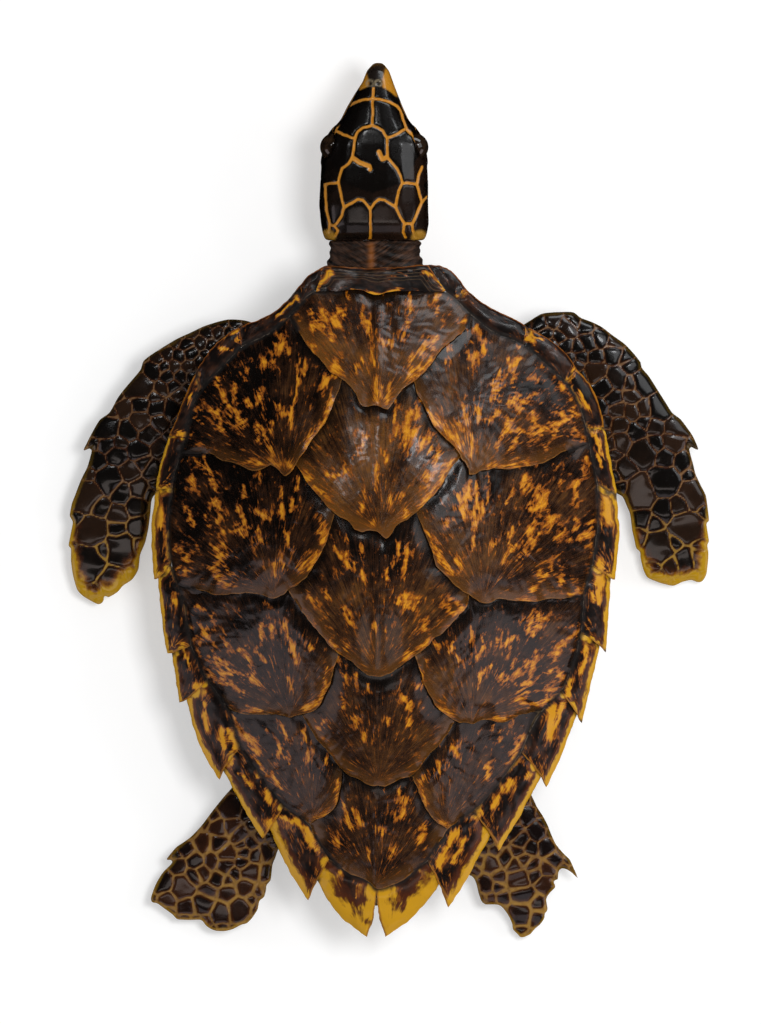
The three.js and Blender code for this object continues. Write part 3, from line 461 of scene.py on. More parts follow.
# each plate: the point its streaks spread from, how light its body is, soft light zones
# (x, y, radius, amount) and golden streaks (x, y, x, y, width) as seen from above
plates = {
    "vertebral_scute_1": {
        "umbo": (0, 138), "tone": 0.13,
        "zones": [(-45, 190, 12, 0.16), (-40, 172, 10, 0.16), (0, 165, 22, 0.12), (30, 170, 12, 0.14),
                  (-50, 214, 12, -0.12), (-15, 200, 12, -0.05), (55, 205, 20, 0.02)],
        "streaks": [
            (-53, 216, -52, 199.5, 1), (-44, 215, -44, 209, 2.2), (-47, 207, -46, 204, 2.4),
            (-42, 207, -41, 202, 1.6), (-38.5, 199, -37, 195, 2.4), (-33.6, 213, -33, 204, 3),
            (-31.7, 217, -31.5, 212, 1.5), (-36.5, 195, -36, 191, 1.6), (-27, 215, -27, 211, 1.5),
            (-23.4, 229, -23, 225, 1), (-14, 217, -14, 209, 1.4), (-10.4, 211, -10, 205, 1.2),
            (-8, 205, -3.6, 172, 1.2), (3.7, 193, 4, 187, 1.3), (9, 192, 8.5, 187, 1.3),
            (25.5, 229, 24, 202, 0.9), (20.6, 198, 20, 192, 1.6), (46.3, 229, 46.5, 225, 1.7),
            (47.8, 219, 48, 212, 1.2), (51.6, 211, 51.5, 206, 1), (-53, 187, -50, 183, 1.8),
            (-34.6, 174, -33.5, 166, 3.4), (-33.6, 167, -33, 163, 2.2), (-17.2, 171, -17, 165, 1.6),
            (-12.8, 177, -12.5, 174, 1), (-1.6, 161, -1.5, 143, 1.6), (2.2, 155, 2, 148, 1.5),
            (9, 156, 8.5, 149, 1.5), (7, 146, 6.5, 141, 1.6), (26.5, 177, 26, 171, 1.6),
            (27.4, 168, 26, 161, 3), (34, 169, 33, 163, 2.4), (42, 176, 36, 168, 2.4),
            (48, 196, 44, 184, 1.6), (38, 190, 35, 180, 1.5), (66, 206, 72, 208, 1.2)],
    },
    "vertebral_scute_2": {
        "umbo": (2, 38), "tone": 0.20,
        "zones": [(-40, 72, 18, 0.10), (44, 66, 16, 0.10), (0, 118, 12, 0.08), (-36, 112, 14, -0.06),
                  (0, 60, 12, -0.08), (-4, 150, 14, -0.16)],
        "streaks": [
            (25, 133, 21, 112, 4.4), (32, 137, 30, 128, 2.6), (29.4, 123, 28, 115, 2),
            (13.9, 142, 13.5, 136, 1.6), (12.9, 133, 12.5, 126, 1.6), (36, 113, 35, 106, 2),
            (41, 119, 39, 112, 1.8), (42, 105, 41, 100, 1.5), (48.7, 103, 47.5, 98, 1.8),
            (45.8, 97, 44.5, 91, 1.6), (-12.3, 114, -12, 108, 1.6), (-40, 84, -33, 83.5, 1.6),
            (-30, 85, -25, 87, 1.8), (-27.3, 92, -27, 88, 1.3), (-10.4, 71, -10, 66, 1.4),
            (-12, 61, -11.5, 56, 1.5), (10, 67, 9.5, 61, 1.4), (17.7, 70, 17, 64, 1.6),
            (-1.6, 92, -1.8, 71, 1.1), (-3.6, 48, -3.6, 44, 1.5), (50, 76, 34, 58, 3.6),
            (22.6, 55, 22, 51, 1.8), (-62, 87, -56, 81, 2.2), (-52, 74, -40, 66, 2.2), (56, 92, 60, 96, 2.4),
            (40, 88, 37, 79, 1.8), (52, 88, 49, 80, 2), (-20, 100, -19, 95, 1.2), (6, 100, 6, 94, 1.2)],
    },
    "vertebral_scute_3": {
        "umbo": (0, -74), "tone": 0.06,
        "zones": [(0, 25, 20, -0.16), (-34, -30, 20, 0.06), (30, -34, 20, 0.08), (0, -60, 14, 0.12),
                  (44, -14, 14, 0.08)],
        "streaks": [
            (-26.3, 22, -23.3, 10, 2), (-14, 27, -13.5, 22, 1.5), (-18.4, 13, -18, 8, 1.6),
            (-12, 6, -11.8, 2, 1.3), (-34.5, 27, -30.4, 18, 1.1), (-39.6, 38.5, -36.5, 30, 1.2),
            (17, 28.7, 16, 16, 1.5), (12.7, 16, 12, 11, 1.5), (23.4, 26.6, 20, 3, 1.6), (7.3, 8, 7, 2, 1.3),
            (-55, -13.5, -50, -19.6, 2), (-42, -9, -40, -14, 1.5), (-27, -22, -23, -34, 2),
            (-21.6, -31, -21, -35, 1.6), (-2.4, -35, -2.4, -38, 1.8), (15.9, -14, 15.5, -19, 1.5),
            (23.4, -12, 22.5, -20.6, 3), (28.7, -19, 28, -23, 1.8), (32, -15, 31, -18, 1.4),
            (59, -14, 67, -23, 2.2), (56, -21, 59, -26, 2.6), (37.3, -33, 36.5, -38, 1.8),
            (-24.9, -51, -24.5, -55, 1.5), (-30, -58, -40, -47, 1.4), (20, -63, 44, -45, 1.4)],
    },
    "vertebral_scute_4": {
        "umbo": (0, -160), "tone": 0.05,
        "zones": [(0, -84, 14, -0.10), (-30, -130, 16, 0.06), (0, -140, 16, 0.08), (34, -130, 16, 0.10)],
        "streaks": [
            (-34, -61, -29, -68, 2.8), (-25, -70, -25, -82, 1.8), (-17.3, -74, -17, -79, 1.5),
            (-8, -84, -7.5, -89, 1.4), (-28.5, -92, -27.5, -100, 1.3), (-18, -110, -17.5, -118, 1.9),
            (-46, -117, -43, -113, 2), (-10.7, -121, -10.3, -127, 1.5), (18.8, -91, 25, -102, 2.2),
            (26.4, -97, 25.5, -102, 1.8), (25.8, -110, 25, -116, 1.5), (33, -82, 32, -86, 1.5),
            (7.9, -110, 7.5, -114, 1.3), (33, -68, 37, -79, 1.3)],
    },
    "vertebral_scute_5": {
        "umbo": (-1, -244), "tone": 0.03,
        "zones": [(0, -172, 12, -0.08), (-25, -215, 14, 0.06), (25, -215, 14, 0.06)],
        "streaks": [
            (-27, -180, -22, -197, 2.2), (-20, -184, -14, -195, 1.8), (17, -166, 16.5, -175, 1.8),
            (21.3, -175, 20, -188, 3), (14.5, -186, 14, -191, 1.6), (-34, -205, -32, -211, 2),
            (-29, -174, -28, -179, 1.6), (2, -198, 2, -203, 1.6), (38, -196, 33, -208, 1.6),
            (-8, -214, -7, -222, 1.4), (12, -214, 10, -223, 1.4)],
    },
    "costal_scute_left_1": {
        "umbo": (-74, 84), "tone": -0.08,
        "zones": [(-52, 150, 16, 0.13), (-62, 118, 14, 0.14), (-96, 98, 16, 0.12), (-124, 108, 8, 0.14),
                  (-120, 150, 30, -0.05), (-80, 98, 10, 0.10)],
        "streaks": [
            (-76.8, 197, -79.4, 187, 1.6), (-80.4, 188, -84, 181, 1.7), (-76.3, 189, -80.4, 182, 1.5),
            (-82, 199, -81.5, 197, 1.4), (-72.8, 191, -72.3, 179, 0.8), (-63, 179, -63.6, 168.5, 1),
            (-63.6, 168.5, -66, 143, 1.1), (-66, 143, -69, 133, 1.2), (-69, 133, -69.7, 120.6, 1),
            (-57.4, 177, -59, 168.5, 1), (-62, 167, -60, 165, 1.8), (-91, 176, -91.6, 169.5, 1.6),
            (-84.5, 175, -87.5, 170, 1.5), (-104.4, 169, -104.4, 164, 1.4), (-105.4, 162.5, -105, 158.4, 0.8),
            (-128.4, 161.4, -127.3, 155.3, 1.5), (-116, 157.3, -115, 151, 1.9), (-114, 148, -112, 141, 1),
            (-92.7, 153, -92.7, 145, 1.3), (-95.7, 148, -95, 140.5, 1.6), (-104.4, 143, -103.9, 138, 1),
            (-123, 148, -119, 132, 2.2), (-133.5, 136, -128.4, 131, 1.3), (-127.3, 136, -128.9, 129.8, 1.7),
            (-146.7, 129.8, -140.6, 124.7, 1), (-141.6, 140, -143.7, 135, 1.5), (-112, 134, -111.5, 124.7, 2),
            (-109.5, 130, -108, 121.6, 0.9), (-105, 128, -105, 125, 1), (-126.8, 128.8, -124.3, 117.6, 1.3),
            (-96.7, 122.7, -90.6, 120.6, 2), (-84.5, 125, -84.5, 121, 1.7), (-79.4, 139, -74.3, 132, 1.5),
            (-74.3, 132, -70.2, 132.9, 1.4), (-150, 121, -149, 118, 1.2), (-92, 119, -83.5, 100, 1),
            (-97, 119, -94, 110, 0.9), (-36, 145, -40.6, 133, 2.2), (-41.6, 128, -50.8, 117, 2.2),
            (-39.6, 164, -44.7, 152, 2.2), (-33, 160, -38, 165, 1.8), (-52, 113, -57, 106, 2),
            (-104, 95, -94, 94, 2.2), (-86, 96, -78, 92, 1.8), (-72, 94, -68, 90, 2)],
    },
    "costal_scute_right_1": {
        "umbo": (76, 84), "tone": 0.04,
        "zones": [(52, 128, 16, 0.20), (62, 110, 12, 0.22), (90, 98, 16, 0.16), (120, 100, 16, 0.10),
                  (134, 148, 16, -0.10), (90, 110, 14, 0.08)],
        "streaks": [
            (79.5, 203, 82, 195, 1.9), (82, 195, 85.6, 183, 1.6), (71.9, 182, 74, 176, 1.7),
            (78.5, 182, 75.4, 171.6, 1.5), (104, 176, 107, 168, 2), (111.7, 176.7, 108, 166.5, 1.3),
            (55, 189, 54.5, 173, 1.5), (112, 187, 118, 189, 1), (133.5, 173, 131, 170, 1.4),
            (98.9, 167.5, 96.4, 153, 1.6), (92, 160, 92.8, 151, 1.5), (92.8, 151, 90.7, 143, 1.3),
            (97, 153, 96, 143, 1.3), (126, 159, 123, 152, 1.9), (123, 152, 120.3, 143, 1.7),
            (146.4, 157, 147, 153, 2), (151, 149, 153, 143, 1.4), (113, 147, 111, 135, 1.8),
            (118.3, 145, 114.2, 138, 1.3), (107, 146, 104, 138, 1.2), (108, 165, 109, 150, 0.8),
            (68.8, 139, 70.3, 125.7, 1.8), (80.5, 138, 80, 129.8, 1.4), (94.3, 134, 89.2, 125.7, 1.6),
            (86.7, 129, 85, 127, 1.4), (105, 129, 102, 118.6, 1.8), (101, 117.6, 108, 119, 1.9),
            (108, 119, 115.2, 119.6, 1.9), (121.4, 134, 125.4, 125.7, 2.2), (125.4, 126, 121.4, 113.5, 2.2),
            (139.7, 126, 128.5, 117.6, 2), (122, 116, 131, 121, 1.8), (144.8, 135, 148.9, 129.8, 1.9),
            (148.9, 130, 139.7, 116.5, 1.9), (158.6, 131.8, 148.9, 126.7, 1.2), (156.5, 138, 155, 135.5, 1.3),
            (160, 119.6, 151, 113.5, 1.3), (164.5, 113, 163, 109, 1.3), (74.4, 116.5, 74.4, 99, 1.8),
            (99, 115.5, 94.8, 106.3, 1.1), (111, 111.4, 105, 105, 1.5), (45, 128, 55, 118, 3.6),
            (55, 118, 66, 108, 3.6), (64, 124, 66, 120, 2.2), (40, 136, 44, 128, 1.6),
            (135.6, 107, 134, 104, 1.6), (88, 91, 100, 91, 1.6), (104, 91, 118, 93, 1.5)],
    },
    "costal_scute_left_2": {
        "umbo": (-82, -12), "tone": -0.04,
        "zones": [(-60, 50, 16, 0.05), (-60, 15, 14, 0.12), (-84, 6, 12, 0.12), (-80, 0, 12, 0.06),
                  (-152, 60, 18, -0.14), (-120, 86, 20, -0.12)],
        "streaks": [
            (-140, 101, -134, 84, 1.2), (-134, 84, -129.4, 71, 1.4), (-144.7, 97.7, -140.6, 88.5, 1),
            (-149.8, 80.4, -142.7, 67, 1.8), (-132.4, 64, -127, 56, 2), (-127, 56, -121, 48, 1.3),
            (-129, 58, -126.5, 47, 1), (-152.9, 59, -149, 49, 1.3), (-149, 49, -145.7, 42.6, 1.5),
            (-138.6, 51.8, -132, 37.5, 1.4), (-111, 57, -104.9, 40.6, 1.2), (-116, 39.6, -106, 36.5, 1.8),
            (-112, 45, -109, 37, 1.8), (-95.7, 53.8, -90, 51, 2.2), (-90, 56, -88, 50, 1.4),
            (-76.3, 60, -76.3, 50.8, 1.5), (-68, 64, -69, 55.9, 1.7), (-94.7, 88.5, -93.7, 77.3, 1.5),
            (-106.4, 74, -107, 66, 1.3), (-73.8, 39.6, -69.7, 25.3, 1.2), (-96.7, 38.5, -94, 31.4, 1.4),
            (-126.3, 40.6, -124, 30, 1.4), (-124, 30, -121.2, 20, 1.8), (-133.5, 28.3, -125, 21, 1.9),
            (-127, 21, -127, 13, 1.5), (-133.5, 9, -129.4, 13.5, 1.3), (-129.4, 13.5, -124, 12, 1.2),
            (-131.4, 8, -125.3, -1.3, 1.2), (-125.3, -1.3, -113, -6, 1.1), (-124, 12, -116, 4, 1),
            (-162, 27, -151, 15, 2), (-160, 10, -151.8, 6, 1), (-43.7, 48, -43.7, 30, 1.9),
            (-46.7, 22, -55, 10, 1.9), (-82.4, 13, -82, 4, 1.4), (-77, 18, -75, 9, 1.2),
            (-60, 14, -62, 7, 2), (-63, 80, -66, 70, 1.3), (-78, 76, -76, 66, 0.9)],
    },
    "costal_scute_right_2": {
        "umbo": (84, -15), "tone": 0.08,
        "zones": [(60, 40, 16, 0.06), (62, 12, 14, 0.12), (90, 20, 18, 0.06), (100, 60, 16, 0.04),
                  (150, 80, 18, -0.10), (150, 30, 16, -0.08), (46, 66, 12, -0.16)],
        "streaks": [
            (74.4, 79, 71, 68, 2.6), (71, 68, 69, 58, 2.4), (78.5, 78, 78, 60, 1.9), (78, 60, 77, 41, 2.6),
            (63, 69, 68.3, 51, 1.9), (84.6, 58, 81.6, 48.7, 2), (89.2, 80.4, 87.5, 68, 1.3),
            (87.5, 68, 86.7, 61, 1.5), (108, 74, 103, 61, 1.2), (117.3, 82.4, 117, 72, 1.6),
            (121.4, 80.4, 122.4, 61, 1.7), (128.5, 74, 127.5, 55, 3), (132.6, 71, 133.6, 55, 1.8),
            (120, 57, 126, 55, 2), (129.5, 51, 115.2, 31.4, 1.7), (115.2, 31.4, 103, 22, 1.6),
            (103, 22, 99, 14, 1.4), (139.7, 50.8, 134.6, 41, 2.8), (134.6, 46.7, 121.4, 28.3, 1.3),
            (121.4, 28.3, 112, 16, 1.1), (147.9, 43.6, 143.8, 31.4, 1.8), (106.5, 42.6, 103.5, 30, 1.5),
            (54, 49, 55, 44, 1.6), (160, 46, 152, 31.4, 1.2), (173.4, 50.8, 172.4, 44, 1.3),
            (172.4, 44, 161, 32.4, 1.2), (171.9, 40.6, 171.4, 20, 1.8), (166.3, 98.7, 165.7, 84.5, 1.5),
            (163.2, 82.4, 158, 77.3, 1.4), (158, 77.3, 158, 68, 1.6), (158, 68, 155, 59, 1.4),
            (143.8, 91.6, 140.7, 84.5, 1.3), (146, 86, 145, 80, 1.2), (93.8, 32, 92, 28, 1.4),
            (143.8, 16, 133.6, 3.8, 1.7), (133.6, 3.8, 123.4, -7.4, 1.6), (145.8, 14, 145.8, -5, 1.4),
            (129.5, 8, 128, 5, 1.5), (154, 2, 147, -3, 1.2), (169.3, 12, 167, 3.8, 1.2),
            (164, -5.3, 161, -10.5, 1.2), (156, -9, 152, -11, 1.3), (44.8, 30.4, 50, 18, 1.7),
            (50, 18, 58, 5, 1.9), (38.7, 38.5, 44, 26, 1.2), (62, 16, 66, 8, 1.6), (76, 36, 76, 24, 1.1),
            (110, -15, 126, -16, 1.2)],
    },
    "costal_scute_left_3": {
        "umbo": (-70, -108), "tone": -0.01,
        "zones": [(-46, -84, 14, 0.14), (-58, -70, 14, 0.06), (-120, -30, 20, -0.10), (-90, -26, 20, -0.10),
                  (-112, -96, 12, -0.12)],
        "streaks": [
            (-153.6, -21, -151.8, -31, 1.5), (-151.8, -31, -148, -48, 1.8), (-148, -48, -142.6, -61, 1.4),
            (-142.6, -34.4, -137.7, -44, 1.2), (-148, -45.4, -142.6, -50.3, 2), (-132.8, -28, -128, -38, 1.1),
            (-143.8, -21, -139, -24.6, 1.2), (-140, -41.7, -130.3, -52.7, 1), (-120.5, -52.7, -119, -56, 1.2),
            (-93, -34.4, -93, -51.5, 1.5), (-101, -54, -90, -65, 1.2), (-107, -51.5, -101, -54, 1),
            (-110.8, -55, -99.7, -69.9, 1.2), (-84.4, -37, -84.4, -44, 1.6), (-74.6, -34.4, -70, -50, 1.8),
            (-70, -50, -64.9, -65, 1.8), (-53.8, -52, -53.8, -56, 1.5), (-134, -61.3, -121, -76, 1.9),
            (-121, -76, -107.7, -92, 2), (-134, -74.8, -120.5, -82, 2.2), (-128, -63.7, -115.7, -73.5, 1.5),
            (-140, -69.9, -136.5, -78.4, 1.3), (-110.8, -73.5, -99.7, -85.8, 1.2),
            (-101, -76, -94.8, -84.5, 1.3),
            (-102, -104, -92.4, -105, 1.8), (-41, -82, -46, -94, 1.6), (-50, -98, -58, -102, 2),
            (-71.6, -77, -69.7, -87, 0.8), (-40, -70, -42, -78, 1)],
    },
    "costal_scute_right_3": {
        "umbo": (74, -113), "tone": 0.02,
        "zones": [(48, -84, 14, 0.14), (60, -96, 12, 0.10), (110, -32, 24, -0.10), (80, -28, 14, -0.06),
                  (56, -66, 12, 0.05)],
        "streaks": [
            (123, -31, 119.2, -40.5, 1.6), (129, -26, 124, -43, 1.4), (136.3, -28, 128, -37, 2),
            (75, -40.5, 72.7, -49, 1.3), (84, -42, 83, -48, 1), (108, -45.4, 98.4, -52.7, 2),
            (96, -46, 95, -52, 1.2), (108, -48, 103, -61, 1.2), (86, -48, 82.5, -56.4, 1.2),
            (75, -59, 74, -67.4, 1.5), (62.9, -61.3, 64, -68.6, 1.5), (47.6, -52, 48, -56, 1.4),
            (129, -61.3, 121.6, -74.8, 2.4), (122.9, -65, 113, -73, 1.8), (113, -73, 103.3, -81, 1.6),
            (110.6, -63.7, 96, -81, 1.1), (159.6, -39, 147.3, -52.7, 1.6), (147.3, -52.7, 140, -61, 2),
            (140, -61.3, 135, -72.3, 1.5), (146, -77, 146, -73, 2.8), (137.5, -71, 124, -82, 1.3),
            (124, -82, 110.6, -84.5, 1.1), (144.9, -87, 135, -90.7, 2), (140, -94.3, 127.8, -99, 1.7),
            (127.8, -99, 109.4, -99.2, 1.5), (119, -89.4, 111.8, -96.8, 1.3), (89.8, -68.6, 81, -76, 1),
            (82.5, -73.5, 78.8, -85.8, 1.1), (46, -101, 57, -107, 2.2), (33, -68, 35.5, -77, 1.2),
            (92, -111, 103, -110.5, 1.5), (60, -50, 57, -58, 1)],
    },
    "costal_scute_left_4": {
        "umbo": (-52, -190), "tone": 0.0,
        "zones": [(-40, -170, 12, 0.10), (-56, -176, 10, 0.05), (-90, -118, 16, -0.05)],
        "streaks": [
            (-117, -105, -109.5, -122.5, 1.5), (-105.9, -123.7, -96, -137, 2.2), (-102, -130, -98, -138, 1.5),
            (-99.7, -140.8, -88.7, -154.3, 1.2), (-85, -151.9, -77.7, -165.3, 1.1),
            (-79, -131, -79, -143, 1.4),
            (-72.8, -141, -70.4, -147, 1), (-80, -109, -75, -121, 1.1), (-75, -121, -70.4, -131, 1),
            (-56.3, -138, -56.3, -144, 2.2), (-42.2, -143, -42.2, -148, 1.8), (-32.4, -160, -33.6, -178, 1.4),
            (-40, -186, -50, -190, 1.6), (-60, -120, -58, -128, 1)],
    },
    "costal_scute_right_4": {
        "umbo": (54, -195), "tone": 0.01,
        "zones": [(40, -170, 12, 0.12), (54, -180, 10, 0.06), (90, -122, 16, -0.04)],
        "streaks": [
            (108, -111.5, 105.7, -117.6, 2), (92.3, -115, 91, -120, 1), (98, -120, 97, -128.6, 1.3),
            (60.4, -133.5, 62.9, -140.8, 2), (48.2, -144.5, 48.2, -151.9, 1.7), (36, -155.5, 33.5, -163, 1.6),
            (89.8, -144.5, 85, -149.4, 1.3), (88.6, -149.4, 87.4, -159, 1.2), (118, -121, 115.5, -131, 1.6),
            (111.8, -132, 108, -142, 1.8), (56, -196, 50, -192, 1.6), (38, -178, 35, -168, 1.2)],
    },
    "nuchal_scute": {
        "umbo": (0, 200), "tone": 0, "zones": [],
        "streaks": [
            (-49.6, 231.5, -44, 239, 1.4), (-44, 239, -37.5, 246, 1.3), (52.6, 232, 50.7, 237, 1.4),
            (50.7, 237, 46, 242, 1.4), (46, 242, 36, 247, 1.2), (-20, 232, -8, 229, 0.9),
            (-8, 229, 0, 228, 1.1), (0, 228, 7, 229, 1.1), (7, 229, 16, 232, 0.9), (-24, 233, -23, 233, 1.4)],
    },
    "rim_left": {
        "umbo": (0, 0), "tone": 0, "zones": [],
        "streaks": [
            (-67, 222.7, -81.4, 210.4, 1), (-66, 227, -61, 220.6, 1.8), (-73.3, 208.4, -77.3, 207.3, 1.1),
            (-127.3, 191, -109, 201, 1.2), (-112, 194, -112, 191, 1.7), (-126.8, 186, -122, 184, 1.3),
            (-122, 184, -116, 184, 1.2), (-143.7, 165.5, -142.7, 152, 1.6), (-148.8, 148, -151.8, 141, 0.8),
            (-159, 117.6, -153, 115.5, 1.8), (-178, 67, -164, 74, 3.2), (-176, 60, -174, 43, 3.2),
            (-165.6, 38.5, -167, 27, 1.8), (-166, 20, -163, 3, 2.4), (-161, 1, -158, -7, 1),
            (-152.4, -11.5, -150.8, -16.6, 2), (-154, -19.6, -152, -31, 1.2), (-163, -15, -163, -18, 1.1),
            (-156, -51.5, -154, -61, 1.5), (-151.8, -62.5, -151, -71, 1.3), (-146, -84.5, -139, -88, 2),
            (-141.4, -84.5, -140, -92, 1.6), (-139, -98, -139, -101, 1.1), (-139, -106.6, -136.5, -119, 1.4),
            (-125.4, -119, -123, -133.5, 1.8), (-120.5, -120, -113, -133.5, 2), (-117, -138, -118, -146, 1.4),
            (-110.8, -154, -101, -166.6, 1.5), (-96, -152, -94.8, -157, 1.3),
            (-88.7, -169, -86.3, -177.6, 2.2),
            (-74, -181, -69, -187, 1.5), (-76.5, -188.6, -69, -194.7, 1.6), (-65.5, -192, -52, -207, 1.8),
            (-86.3, -193.5, -81.4, -207, 2.2), (-46, -206, -38, -222, 2), (-57, -204, -50, -216, 1.8),
            (-30, -233, -36, -243, 1.6), (-14, -243, -16, -252, 1.6)],
    },
    "rim_right": {
        "umbo": (0, 0), "tone": 0, "zones": [],
        "streaks": [
            (63, 226.7, 69.3, 230.8, 1.8), (119.3, 201, 118.3, 190, 1.7), (123, 199, 121.5, 192, 2.2),
            (120, 201, 133, 197, 1.4), (133, 197, 146, 190, 1.2), (124, 195, 133, 192.5, 0.9),
            (158, 169.6, 152, 159.4, 1.8), (155, 155, 162, 138, 0.9), (160, 151, 168.3, 138, 1.2),
            (166.3, 122.7, 171.4, 116.5, 2.6), (173.4, 119.6, 178.3, 100, 1.5), (175.4, 100, 178.5, 92, 1.1),
            (176.5, 75, 192.8, 66, 2.8), (182.6, 68, 184.6, 46, 4.4), (177.5, 14, 176.5, -18.6, 2.8),
            (171, -9.4, 172.4, -18.6, 1.2), (166, -50, 166, -65, 1.7), (166, -65, 162, -73.5, 1.6),
            (153.5, -79.6, 152, -92, 1.5), (140, -101.7, 137.5, -126, 3), (147.3, -99, 142.4, -117.6, 1.5),
            (121.6, -154.3, 118, -159, 1.8), (110.6, -144.5, 103, -152, 1.8), (103, -152, 97, -158, 1.6),
            (105.7, -160, 103, -169, 2.4), (96, -172.7, 93.5, -181, 2), (81, -178.8, 78.8, -188.6, 2.2),
            (62, -200, 49, -227, 2.4), (70, -206, 60, -226, 1.8), (34, -232, 40, -243, 1.6),
            (14, -246, 17, -256, 1.6)],
    },
}


# how far a streak is looked for, how wide its core and its halo are (a share of its width and
# an addition), and how its line wanders: the amount, size and seed of each ripple
streak = {
    "reach": (6, 2), "core": (0.85, 0.2), "halo": (1.9, 1.1),
    "bendX": ((1.0, 3.2, 91), (0.7, 1.7, 93)), "bendY": ((1.3, 4.5, 92),),
}


def paintPlate(obj, flat, name):
    plan = plates[name]
    core, halo = np.zeros(len(flat)), np.zeros(len(flat))
    level = np.column_stack([flat, np.zeros(len(flat))])
    bends = [sum(amount * ripple(level, size, seed) for amount, size, seed in streak[axis])
             for axis in ("bendX", "bendY")]
    bent = flat + np.stack(bends, axis=1)
    for startX, startY, endX, endY, width in plan["streaks"]:
        start, end = np.array([[startX, startY]], dtype=float), np.array([[endX, endY]], dtype=float)
        reach, coreWidth, haloWidth = (
            share * width + more for share, more in (streak["reach"], streak["core"], streak["halo"]))
        near = (np.abs(flat - (start + end) / 2) < np.abs(end - start) / 2 + reach).all(axis=1)
        away = segmentDistance(bent[near], start, end)
        core[near] = np.maximum(core[near], hill(away, coreWidth))
        halo[near] = np.maximum(halo[near], hill(away, haloWidth))
    tone = np.full(len(flat), plan["tone"])
    for x, y, radius, amount in plan["zones"]:
        tone += amount * np.exp(-((flat - (x, y)) ** 2).sum(axis=1) / radius ** 2)
    writeVector(obj, "paint", core, tone, halo)


def writeFlow(obj, flat, centre, seed):
    # the angle and distance from the point that a plate's streaks fan out from
    away = flat - centre
    writeVector(obj, "flow", np.arctan2(away[:, 0], away[:, 1]), np.hypot(away[:, 0], away[:, 1]),
                np.full(len(flat), seed))


def pieceSeed(node, turns, step):
    return (sum(ord(letter) for letter in node) % turns) * step


def markSides(obj, isTop):
    # side is 1 on top and 0 underneath, and rim is 1 where they meet
    edges = readEdges(obj)
    onRim = np.zeros(len(isTop))
    onRim[edges[isTop[edges[:, 0]] != isTop[edges[:, 1]]]] = 1
    writeValue(obj, "side", isTop.astype(float))
    writeValue(obj, "rim", onRim)


def rimSegments(obj, points):
    edges = readEdges(obj)
    onTopRim = (readValue(obj, "rim") > 0.999) & (readValue(obj, "side") > 0.999)
    edges = edges[onTopRim[edges].all(axis=1)]
    return points[edges[:, 0], :2], points[edges[:, 1], :2]


def outwardNormals(starts, ends, centre):
    middle = (starts + ends) / 2
    along = ends - starts
    normal = np.stack([along[:, 1], -along[:, 0]], axis=1)
    normal /= np.maximum(np.linalg.norm(normal, axis=1), 1e-6)[:, None]
    normal *= np.where(((middle - centre) * normal).sum(axis=1) < 0, -1, 1)[:, None]
    return middle, normal


def closeGaps(obj, points):
    # lets neighbouring plates just touch, so that nothing shows between them
    across = readNormals(obj)[:, :2]
    length = np.linalg.norm(across, axis=1)
    onRim = (readValue(obj, "rim") > 0.97) & (length > 0.2)
    points[onRim, :2] += scute["touch"] * across[onRim] / length[onRim, None]
    return points


def roughScute(node):
    obj = copyNode(node, node + "_horn")
    points = readPoints(obj)
    low, high = points[:, 1].min(), points[:, 1].max()
    isTop = np.zeros(len(points), dtype=bool)
    for polygon in obj.data.polygons:
        if polygon.normal.z > scute["upward"]:
            isTop[list(polygon.vertices)] = True
    markSides(obj, isTop)
    creaseSharpEdges(obj, scute["crease"])
    subdivide(obj, scute["levels"])
    starts, ends = rimSegments(obj, readPoints(obj))
    return {"node": node, "obj": obj, "low": low, "high": high, "starts": starts, "ends": ends}


def finishScute(rough, material, samples):
    node, obj, starts, ends = rough["node"], rough["obj"], rough["starts"], rough["ends"]
    points = closeGaps(obj, readPoints(obj))
    side = readValue(obj, "side")
    centre = np.array([points[:, 0].mean() * 0.8, points[:, 1].mean()])
    middle, normal = outwardNormals(starts, ends, centre)
    isSulcus = ((rimShare(middle[:, 0], middle[:, 1]) > scute["sulcusShare"])
                & (np.abs(middle[:, 0]) > scute["sulcusSide"]))
    isFree = (normal[:, 1] < -scute["facing"]) & ~isSulcus
    isCovered = (normal[:, 1] > scute["facing"]) & ~isSulcus
    flat = points[:, :2]
    freeGap = segmentDistance(flat, starts[isFree], ends[isFree])
    coverGap = segmentDistance(flat, starts[isCovered], ends[isCovered])
    sulcusGap = segmentDistance(flat, starts[isSulcus], ends[isSulcus])
    writeVector(obj, "edges", freeGap, coverGap, sulcusGap)

    x, y = points[:, 0], points[:, 1]
    level = points * (1, 1, 0)
    thicker = (scute["thickFront"] - scute["thickRear"]) * smoothStep(rough["low"], rough["high"], y)
    top = scute["thickRear"] + thicker
    relief = -scute["frontDip"] * hill(coverGap, scute["frontDipWidth"])
    relief -= scute["sulcusDip"] * hill(sulcusGap, scute["sulcusWidth"])
    relief -= scute["edgeRound"] * hill(freeGap, scute["edgeRoundWidth"])
    bend, bendSize = scute["ridgeBend"]
    rings = np.sin((coverGap.clip(0, scute["ridgeReach"]) + bend * ripple(level, bendSize, 5))
                   * 2 * math.pi / scute["ridgeSpacing"])
    relief += scute["ridge"] * rings * smoothStep(4, 12, coverGap) * smoothStep(1, 6, freeGap)
    uneven, unevenSize = scute["uneven"]
    relief += uneven * ripple(level, unevenSize, 3)
    if node.startswith("vertebral"):
        relief += scute["keel"] * hill(x, scute["keelWidth"]) * smoothStep(3, 14, coverGap)
    points[:, 2] = (domeHeight(x, y) + scute["lift"] + side * (top + relief)
                    + (1 - side) * scute["under"])
    points[:, :2] = seamShift(flat, samples)
    points = waver(points)
    writePoints(obj, points)
    writeFlow(obj, points[:, :2], plates[node]["umbo"], pieceSeed(node, 17, 3.7))
    paintPlate(obj, points[:, :2], node)
    finishPiece(obj, node, material, 50)


